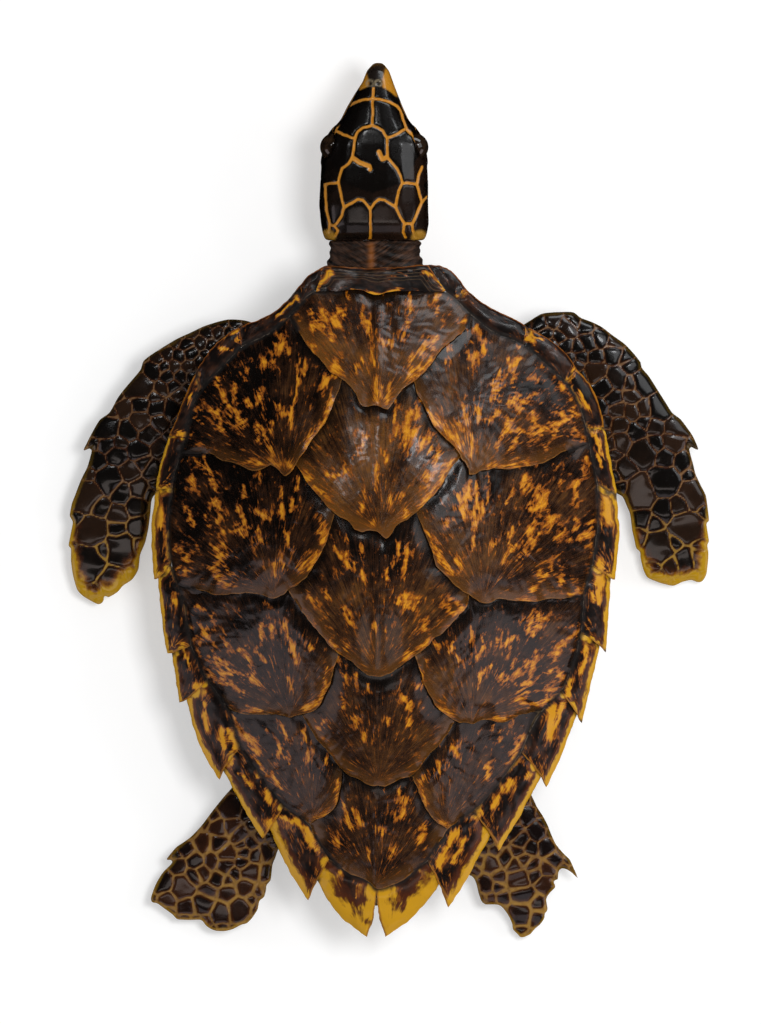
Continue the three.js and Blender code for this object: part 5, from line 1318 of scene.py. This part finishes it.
# head, eyes and neck
head = {
    "seams": [
        [(-3.5, 393), (-4, 384.5)],
        [(-24, 378), (-19, 381), (-12, 383.5), (-4, 384.5), (2, 384), (9, 382), (15, 378.5), (18, 375),
         (20, 368), (22.5, 361)],
        [(-24, 378), (-28, 371), (-31, 364), (-33.5, 359)],
        [(-4.5, 383), (-4.3, 373), (-4.5, 363)],
        [(-18.5, 352.5), (-16, 358), (-12, 361), (-8, 362), (-4.5, 363), (0, 361), (4, 358.5), (6, 355),
         (7.5, 352.5)],
        [(-33.5, 359), (-27, 355.5), (-21, 353), (-18.5, 352.5)], [(22.5, 360.5), (15, 356), (7.5, 352.5)],
        [(22.5, 360.5), (27, 355), (31, 349)], [(-33.5, 359), (-38, 354), (-42, 351)],
        [(-18.5, 352.5), (-19.5, 345), (-20, 338), (-23.5, 332), (-28.5, 329), (-30.5, 323), (-31.5, 317)],
        [(7.5, 352.5), (7.3, 345), (7.5, 338), (11, 333), (15, 328.5), (18, 323), (19.5, 317)],
        [(-31.5, 317), (-37, 317), (-42, 316)], [(19.5, 317), (24, 317), (31, 316)],
        [(35, 330), (32, 322), (31, 316), (33, 308), (35, 302), (32, 295), (28, 286), (26.5, 284)],
        [(35, 302), (39, 306)],
        [(-31.5, 317), (-30, 310), (-28.5, 303), (-27, 298), (-29, 291), (-32.5, 285), (-35, 283)],
        [(-27, 297.5), (-21, 301), (-16, 304), (-12, 303), (-8.5, 299.5), (-6, 296)],
        [(-6, 296), (-3, 301), (1, 304), (5, 303.5), (9, 301), (14, 298)],
        [(-6, 296), (-6.2, 288), (-6, 280), (-6.2, 272)],
        [(19.5, 317), (16.5, 311), (14.8, 304), (14, 298), (17, 291), (21, 285)],
        [(21, 284.5), (27, 284.5)], [(27, 284), (28, 279), (30, 274)], [(21, 284), (20, 278), (22, 274)],
        [(-42, 316), (-41.5, 305), (-41, 295), (-38.5, 285), (-39, 278)],
        [(-38.5, 283.5), (-35, 283), (-32, 279), (-34, 275)]],
    "stubs": [[(-20, 337), (-15, 333.5), (-10, 331.5), (-7, 330.5), (-6.5, 328)],
              [(7, 337.5), (3.5, 336), (2, 339), (0.8, 342)]],
    "patches": [(-40, 274, 6), (33, 273, 6.5)],
    "sideSeeds": [
        (352, 92), (330, 72), (327, 55), (312, 66), (316, 48), (300, 74), (298, 56), (286, 64), (284, 48),
        (336, 44), (358, 46), (320, 38), (302, 40), (284, 76)],
    "throatSeeds": ((-20, 0, 14), (290, 305, 320, 335, 350)),
    "dark": (0.003, 0.002, 0.0015), "brown": (0.014, 0.006, 0.003), "seam": (0.50, 0.195, 0.005),
    # the pale colour round the nostrils is a painted highlight
    "beak": (0.012, 0.008, 0.006), "amber": (0.46, 0.19, 0.006), "ring": (0.25, 0.20, 0.12),
    "patch": (0.40, 0.20, 0.02), "throat": (0.34, 0.19, 0.06), "mouthLine": (0.01, 0.007, 0.005),
    "voxel": 1.3, "relax": (9, 0.5), "groove": 1.9, "sideWobble": (6, 0.8, 51, 3), "topWobble": (4, 0.35, 54),
    "beakFront": 394.5, "nostrils": ((-6.3, 396.6), (0.1, 396.6)), "nostrilRing": (2.6, 0.7),
    "nostrilPit": (397, 1.4, 2.2), "eyes": ((-34.5, 346, 74), (28.5, 346, 74)), "eyeRadius": 12.7,
    "eyelid": (2.5, 2.2, 1.0), "dome": 0.5, "domeWidth": 5, "seamDip": 0.9, "seamWidth": 1.2,
    "mouthDip": 1.6, "mouthWidth": 1.3, "mouthFrom": (344, 352),
}


def headSeeds(obj):
    # the middles of the side and throat scales, where rays from inside and from below meet the skin
    rays = [((hand * 0.2, y * mm, z * mm), (-hand, 0, 0), 1)
            for y, z in head["sideSeeds"] for hand in (-1, 1)]
    xs, ys = head["throatSeeds"]
    rays += [((x * mm, y * mm, 0), (0, 0, 1), 0) for y in ys for x in xs]
    seeds, sizes = [], []
    for start, direction, size in rays:
        hit, place, _, _ = obj.ray_cast(start, direction)
        if hit:
            seeds.append(tuple(value / mm for value in place))
            sizes.append(size)
    return np.array(seeds), np.array(sizes, dtype=float)


def makeHead(material):
    obj = copyNode("head", "head_dressed")
    remesh(obj, head["voxel"])
    relax(obj, *head["relax"])
    points = readPoints(obj)
    seeds, sizes = headSeeds(obj)
    gap, nearest = scaleGaps(wobble(points, *head["sideWobble"]), seeds, sizes)
    x, y, z = points.T
    normals = readNormals(obj)
    bent = wobble(points, *head["topWobble"])
    allGap = segmentDistance(bent, *segmentsOf(head["seams"] + head["stubs"]))
    stubGap = segmentDistance(bent, *segmentsOf(head["stubs"]))
    topGap = np.minimum(2 * allGap, np.maximum(2 * stubGap - 1.6, 0))
    share = smoothStep(0.10, 0.35, normals[:, 2]) * smoothStep(62, 68, z)
    gap = gap * (1 - share) + topGap * share
    front = y + 0.35 * np.minimum(z - 78, 0) - head["beakFront"] + 0.03 * (x + 3) ** 2
    beak = smoothStep(-0.6, 0.6, front)
    gap = np.where(beak > 0.5, 20, gap)
    nostrilGaps = [np.hypot(x - nostrilX, y - nostrilY) for nostrilX, nostrilY in head["nostrils"]]
    # painted highlight: a pale ring round each nostril
    ringRadius, ringWidth = head["nostrilRing"]
    ring = hill(np.min(nostrilGaps, axis=0) - ringRadius, ringWidth) * (z > 70)
    amber = smoothStep(4.5, 6.5, np.abs(x + 2) + 0.25 * np.clip(400 - y, -9, 0)) * smoothStep(411, 407, y)
    patch = np.zeros(len(points))
    for patchX, patchY, radius in head["patches"]:
        patch = np.maximum(patch, smoothStep(radius + 1.5, radius - 1.5, np.hypot(x - patchX, y - patchY)))
    writeVector(obj, "front", amber, ring, patch)
    mouth = np.abs(z - (57 + 0.02 * (y - 355) + 1.5 * np.sin((y - 355) / 12)))
    mouthMask = smoothStep(*head["mouthFrom"], y)
    writeVector(obj, "scales", gap, rng.random(len(seeds))[nearest], beak)
    writeVector(obj, "mouth", np.where(mouthMask > 0.1, mouth, 30), z, y)
    eyeGap = np.full(len(points), farAway)
    for centre in head["eyes"]:
        eyeGap = np.minimum(eyeGap, np.linalg.norm(points - centre, axis=1) - head["eyeRadius"])
    away = smoothStep(1, 4, eyeGap)
    relief = head["dome"] * smoothStep(0, head["domeWidth"], gap)
    relief -= head["seamDip"] * hill(gap, head["seamWidth"])
    relief -= head["mouthDip"] * hill(mouth, head["mouthWidth"]) * mouthMask
    lidGap, lidWidth, lidHeight = head["eyelid"]
    relief += lidHeight * hill(eyeGap - lidGap, lidWidth)
    pitY, pitDepth, pitSize = head["nostrilPit"]
    for nostrilX, _ in head["nostrils"]:
        awaySquared = (x - nostrilX) ** 2 + (y - pitY) ** 2
        relief -= pitDepth * np.exp(-awaySquared / pitSize) * (z > 70)
    points += normals * (relief * away)[:, None]
    writePoints(obj, points)
    finishPiece(obj, "head", material, 60)


def headFinish():
    finish = Finish("head horn")
    gap, tone, beak = finish.attribute("scales")
    mouth, height, along = finish.attribute("mouth")
    place = finish.place()
    cloud = finish.noise(place, 90.0, 3.0, 0.6)
    grain = finish.noise(place, 800.0, 2.0, 0.6)
    plate = finish.blend((tone * 0.6 + cloud * 0.6).between(0.4, 1.0), head["dark"], head["brown"])
    seam = 1.0 - (gap + (grain - 0.5) * 0.8).between(head["groove"] * 0.7, head["groove"] * 1.5)
    colour = finish.blend(seam, plate, head["seam"])
    amber, ring, patch = finish.attribute("front")
    low = (1.0 - (height + (cloud - 0.5) * 16.0).between(50.0, 76.0) + amber).clamped()
    beakColour = finish.blend(low, head["beak"], head["amber"])
    # painted highlight round the nostrils
    beakColour = finish.blend(ring * 0.8, beakColour, head["ring"])
    colour = finish.blend(beak, colour, beakColour)
    colour = finish.blend(patch * 0.9, colour, head["patch"])
    lips = (1.0 - (height + (cloud - 0.5) * 6.0).between(56.0, 66.0)) * along.between(340.0, 360.0)
    colour = finish.blend(lips * 0.8, colour, head["amber"])
    throat = 1.0 - (height + (cloud - 0.5) * 8.0).between(36.0, 48.0)
    colour = finish.blend(throat * 0.75, colour, head["throat"])
    line = 1.0 - mouth.between(0.5, 1.4)
    colour = finish.blend(line * 0.9, colour, head["mouthLine"])
    roughness = 0.2 + 0.2 * seam + 0.14 * cloud
    normal = finish.bump(cloud * 0.4 + grain * 0.2, 0.3, 0.4 * mm)
    return finish.output(colour, roughness, normal, {"Coat Weight": 0.6, "Coat Roughness": 0.1})


skins = {
    "neck": {"dark": (0.006, 0.004, 0.003), "light": (0.075, 0.034, 0.018), "scale": 170.0,
             "creases": 0.85, "slant": 0.62, "voxel": 1.4, "relax": (6, 0.5)},
    "body_skin": {"dark": (0.07, 0.034, 0.012), "light": (0.27, 0.15, 0.05), "scale": 150.0,
                  "creases": 0.55, "slant": 0, "voxel": 3.0, "relax": (4, 0.5)},
}
skinRidge = (0.26, 0.08, 0.012)
folds = {
    "spacing": 6.5, "bow": 9, "halfWidth": 45, "middle": -3, "depth": 0.7, "keelX": -6, "keelWidth": 2.4,
}


def skinFinish(name, look):
    finish = Finish(name)
    place = finish.place()
    ridge = finish.value("ridge")
    across, turn, _ = finish.attribute("wrinkle")
    cells = finish.node("ShaderNodeTexVoronoi", {"feature": "DISTANCE_TO_EDGE"}, {
        "Vector": place, "Scale": look["scale"], "Randomness": 1.0})
    cloud = finish.noise(place, 45.0, 3.0, 0.6)
    creases = finish.noise(finish.join(across * 0.55, turn * 0.07, 0.0), 1.0, 4.0, 0.65, 0.4)
    share = look["creases"]
    fold = cells.between(0.0, 0.12) * (1.0 - share) + creases.between(0.40, 0.62) * share
    colour = finish.blend((fold * 0.6 + cloud * 0.6).between(0.3, 1.0), look["dark"], look["light"])
    colour = finish.blend(ridge * 0.8, colour, skinRidge)
    roughness = 0.42 + 0.2 * cloud
    normal = finish.bump(fold * 0.8 + cloud * 0.5, 0.6, 0.7 * mm)
    return finish.output(colour, roughness, normal, {"Coat Weight": 0.15, "Coat Roughness": 0.25})


def makeSkin(node, title):
    look = skins[node]
    obj = copyNode(node, node + "_dressed")
    remesh(obj, look["voxel"])
    relax(obj, *look["relax"])
    points = readPoints(obj)
    if node == "neck":
        relief, ridge = neckFolds(points)
    else:
        relief, ridge = 0.5 * ripple(points * (1, 1, 2.5), 9, 71) - 0.5, np.zeros(len(points))
    moved = points + readNormals(obj) * relief[:, None]
    # the neck's wrinkles are laid over its folds
    x, y, z = (moved if node == "neck" else points).T
    writeValue(obj, "ridge", ridge)
    writeVector(obj, "wrinkle", y - look["slant"] * np.abs(x - folds["keelX"]), x, z)
    writePoints(obj, moved)
    finishPiece(obj, node, skinFinish(title, look), 60)


def neckFolds(points):
    # rings round the neck that bow toward the head, and a low keel along its top
    x, y, z = points.T
    inner = np.clip(np.abs(x - folds["middle"]) / folds["halfWidth"], 0, 1)
    bowed = y - folds["bow"] * (1 - inner) ** 2 + 2.5 * ripple(points, 16, 61)
    rings = np.sin(bowed * 2 * math.pi / folds["spacing"])
    fadeEnds = smoothStep(271.5, 268, y) * smoothStep(200, 215, y)
    keel = hill(x - folds["keelX"] + 1.2 * ripple(points, 12, 63), folds["keelWidth"]) * (z > 55) * fadeEnds
    relief = (folds["depth"] * rings - folds["depth"] + 0.5 * ripple(points, 5, 62)) * fadeEnds + keel
    return relief, keel


eyeTones = [(0.3, (0.006, 0.004, 0.003)), (0.8, (0.03, 0.016, 0.008))]


def eyeFinish():
    finish = Finish("eye glass")
    speck = finish.noise(finish.place(), 300.0)
    colour = finish.ramp(speck, eyeTones)
    return finish.output(colour, 0.05, None, {"Coat Weight": 1.0, "Coat Roughness": 0.02})


print("head, neck and body")
makeHead(headFinish())
makeSkin("neck", "neck skin")
makeSkin("body_skin", "body skin")
eyeMaterial = eyeFinish()
for side in ("left", "right"):
    eye = copyNode("eye_" + side, "eye_" + side + "_glass")
    subdivide(eye, 2)
    finishPiece(eye, "eye_" + side, eyeMaterial, 180)


# carapace bone and plastron
plastron = {
    "voxel": 2.6, "relax": (2, 0.4), "wobble": (20, 2, 81), "half": 86,
    "acrossSeams": ((108, -12), (48, 4), (-22, 6), (-92, -8), (-152, -20)),
    "bridgeSeams": (64, 14, -36),
    "tones": [(0.36, (0.33, 0.17, 0.05)), (0.5, (0.55, 0.36, 0.13)), (0.66, (0.66, 0.48, 0.22))],
    "line": (0.055, 0.028, 0.012),
}
boneTones = [(0.35, (0.045, 0.028, 0.015)), (0.65, (0.14, 0.095, 0.055))]


def boneFinish():
    finish = Finish("bone")
    cloud = finish.noise(finish.place(), 40.0, 4.0, 0.6)
    pits = finish.noise(finish.place(), 500.0, 2.0, 0.5)
    colour = finish.ramp(cloud, boneTones)
    return finish.output(colour, 0.55 + 0.2 * pits, finish.bump(pits, 0.4, 0.5 * mm), {})


def bellyFinish():
    finish = Finish("belly horn")
    seam = finish.value("seam")
    place = finish.place()
    cloud = finish.noise(place, 22.0, 4.0, 0.55)
    fine = finish.noise(place, 180.0, 3.0, 0.6)
    colour = finish.ramp(cloud * 0.7 + fine * 0.3, plastron["tones"])
    line = 1.0 - (seam + (fine - 0.5) * 1.4).between(0.5, 2.2)
    colour = finish.blend(line * 0.85, colour, plastron["line"])
    roughness = 0.28 + 0.2 * cloud + 0.2 * line
    normal = finish.bump(fine * 0.3 + seam.between(0.0, 2.5), 0.5, 0.8 * mm)
    return finish.output(colour, roughness, normal, {"Coat Weight": 0.3, "Coat Roughness": 0.15})


def makePlastron(material):
    obj = copyNode("plastron", "plastron_horn")
    remesh(obj, plastron["voxel"])
    relax(obj, *plastron["relax"])
    points = readPoints(obj)
    points[:, 2] = np.maximum(points[:, 2], 0)
    half = plastron["half"]
    seams = [[(0, 205), (0, -220)]]
    for hand in (-1, 1):
        seams.append([(0, 172), (hand * 30, 178), (hand * 62, 160)])
        for y, slope in plastron["acrossSeams"]:
            seams.append([(0, y), (hand * 45, y + slope), (hand * half, y + slope * 1.4)])
        seams.append([(hand * half, 105), (hand * 88, 30), (hand * 84, -90)])
        for y in plastron["bridgeSeams"]:
            seams.append([(hand * half, y), (hand * 158, y - 4)])
        seams.append([(hand * 122, 110), (hand * 126, 20), (hand * 120, -90)])
    writeValue(obj, "seam", segmentDistance(wobble(points, *plastron["wobble"]), *segmentsOf(seams)))
    writePoints(obj, points)
    finishPiece(obj, "plastron", material, 50)


print("bone and plastron")
bone = copyNode("carapace", "carapace_bone")
finishPiece(bone, "carapace", boneFinish(), 30)
makePlastron(bellyFinish())


# light, floor and camera
studio = {
    "frameHeight": 1024 * 0.8, "centreX": 2.0, "centreY": 54.4, "lens": 900.0, "sensor": 36.0,
    "focusHeight": 50.0, "furthest": 50, "world": 0.45,
    "floorSize": 8.0, "floorZ": -0.2, "floorTones": (0.60, 0.62), "floorGlow": 0.43,
    # lights: name, place, aim, size, power
    "lights": [
        ("key", (0.85, 0.30, 2.9), (0, 0, 0), (0.9, 0.9), 54),
        ("right fill", (2.2, 0.3, 1.4), (0, 0, 0.1), (1.2, 1.2), 12)],
    # soft boxes that are only seen mirrored in the horn: name, place, size, brightness, colour
    "sheens": [
        ("front veil", (0.85, 2.2, 0.80), (1.7, 0.75), 2.6, (0.94, 0.97, 1.0)),
        ("head spark", (-0.35, 1.6, 2.2), (0.5, 0.25), 9.0, (1.0, 1.0, 1.0)),
        ("left spark", (-1.2, 1.15, 2.3), (0.22, 0.3), 7.0, (0.97, 0.98, 1.0)),
        ("right spark", (1.5, 1.2, 2.1), (0.3, 0.3), 10.0, (0.97, 0.98, 1.0)),
        ("right veil", (1.9, 0.9, 1.7), (1.4, 1.4), 1.2, (0.97, 0.98, 1.0)),
        ("rear top", (0.0, -1.15, 2.35), (2.2, 0.6), 1.0, (1.0, 0.86, 0.80)),
        ("rear low", (0.0, -2.4, 0.9), (2.6, 1.2), 0.5, (1.0, 0.86, 0.90)),
        ("left wall", (-2.1, -1.0, 0.75), (1.4, 1.1), 0.8, (1.0, 0.84, 0.86)),
        ("right wall", (2.1, -1.0, 0.75), (1.4, 1.1), 1.0, (1.0, 0.84, 0.84))],
    "sheenAim": (0, 0, 0.1),
}


def areaLight(name, place, aim, size, power, colour, onlyMirrored):
    light = bpy.data.lights.new(name, "AREA")
    light.shape = "RECTANGLE"
    light.size, light.size_y = size
    light.energy = power
    light.color = colour
    obj = bpy.data.objects.new(name, light)
    bpy.context.scene.collection.objects.link(obj)
    obj.location = place
    obj.rotation_euler = (Vector(aim) - Vector(place)).to_track_quat("-Z", "Y").to_euler()
    obj.visible_glossy = onlyMirrored
    obj.visible_diffuse = not onlyMirrored


def makeCamera():
    distance = studio["frameHeight"] * studio["lens"] / studio["sensor"] + studio["focusHeight"]
    camera = bpy.data.cameras.new("camera")
    camera.lens = studio["lens"]
    camera.sensor_width = studio["sensor"]
    camera.clip_end = studio["furthest"]
    obj = bpy.data.objects.new("camera", camera)
    bpy.context.scene.collection.objects.link(obj)
    obj.location = (studio["centreX"] * mm, studio["centreY"] * mm, distance * mm)
    bpy.context.scene.camera = obj


def makeFloor():
    bpy.ops.mesh.primitive_plane_add(size=studio["floorSize"], location=(0, 0, studio["floorZ"] * mm))
    floor = bpy.context.active_object
    floor.name = "floor"
    white = Finish("floor")
    speck = white.noise(white.place(), 40.0)
    low, high = studio["floorTones"]
    tone = white.ramp(speck, [(0.0, (low, low, low)), (1.0, (high, high, high))])
    floor.data.materials.append(white.output(tone, 0.7, None, {
        "Emission Color": (1, 1, 1), "Emission Strength": studio["floorGlow"], "Specular IOR Level": 0.0}))
    floor.visible_glossy = False


def makeLight():
    world = bpy.data.worlds.new("studio")
    bpy.context.scene.world = world
    world.use_nodes = True
    background = world.node_tree.nodes["Background"]
    background.inputs["Color"].default_value = (1, 1, 1, 1)
    background.inputs["Strength"].default_value = studio["world"]
    world.cycles_visibility.glossy = False
    for name, place, aim, size, power in studio["lights"]:
        areaLight(name, place, aim, size, power, (1, 1, 1), False)
    for name, place, size, brightness, colour in studio["sheens"]:
        power = brightness * math.pi * size[0] * size[1]
        areaLight(name, place, studio["sheenAim"], size, power, colour, True)
    bpy.context.scene.view_settings.view_transform = "Standard"


makeCamera()
makeFloor()
makeLight()
print("studio ready")
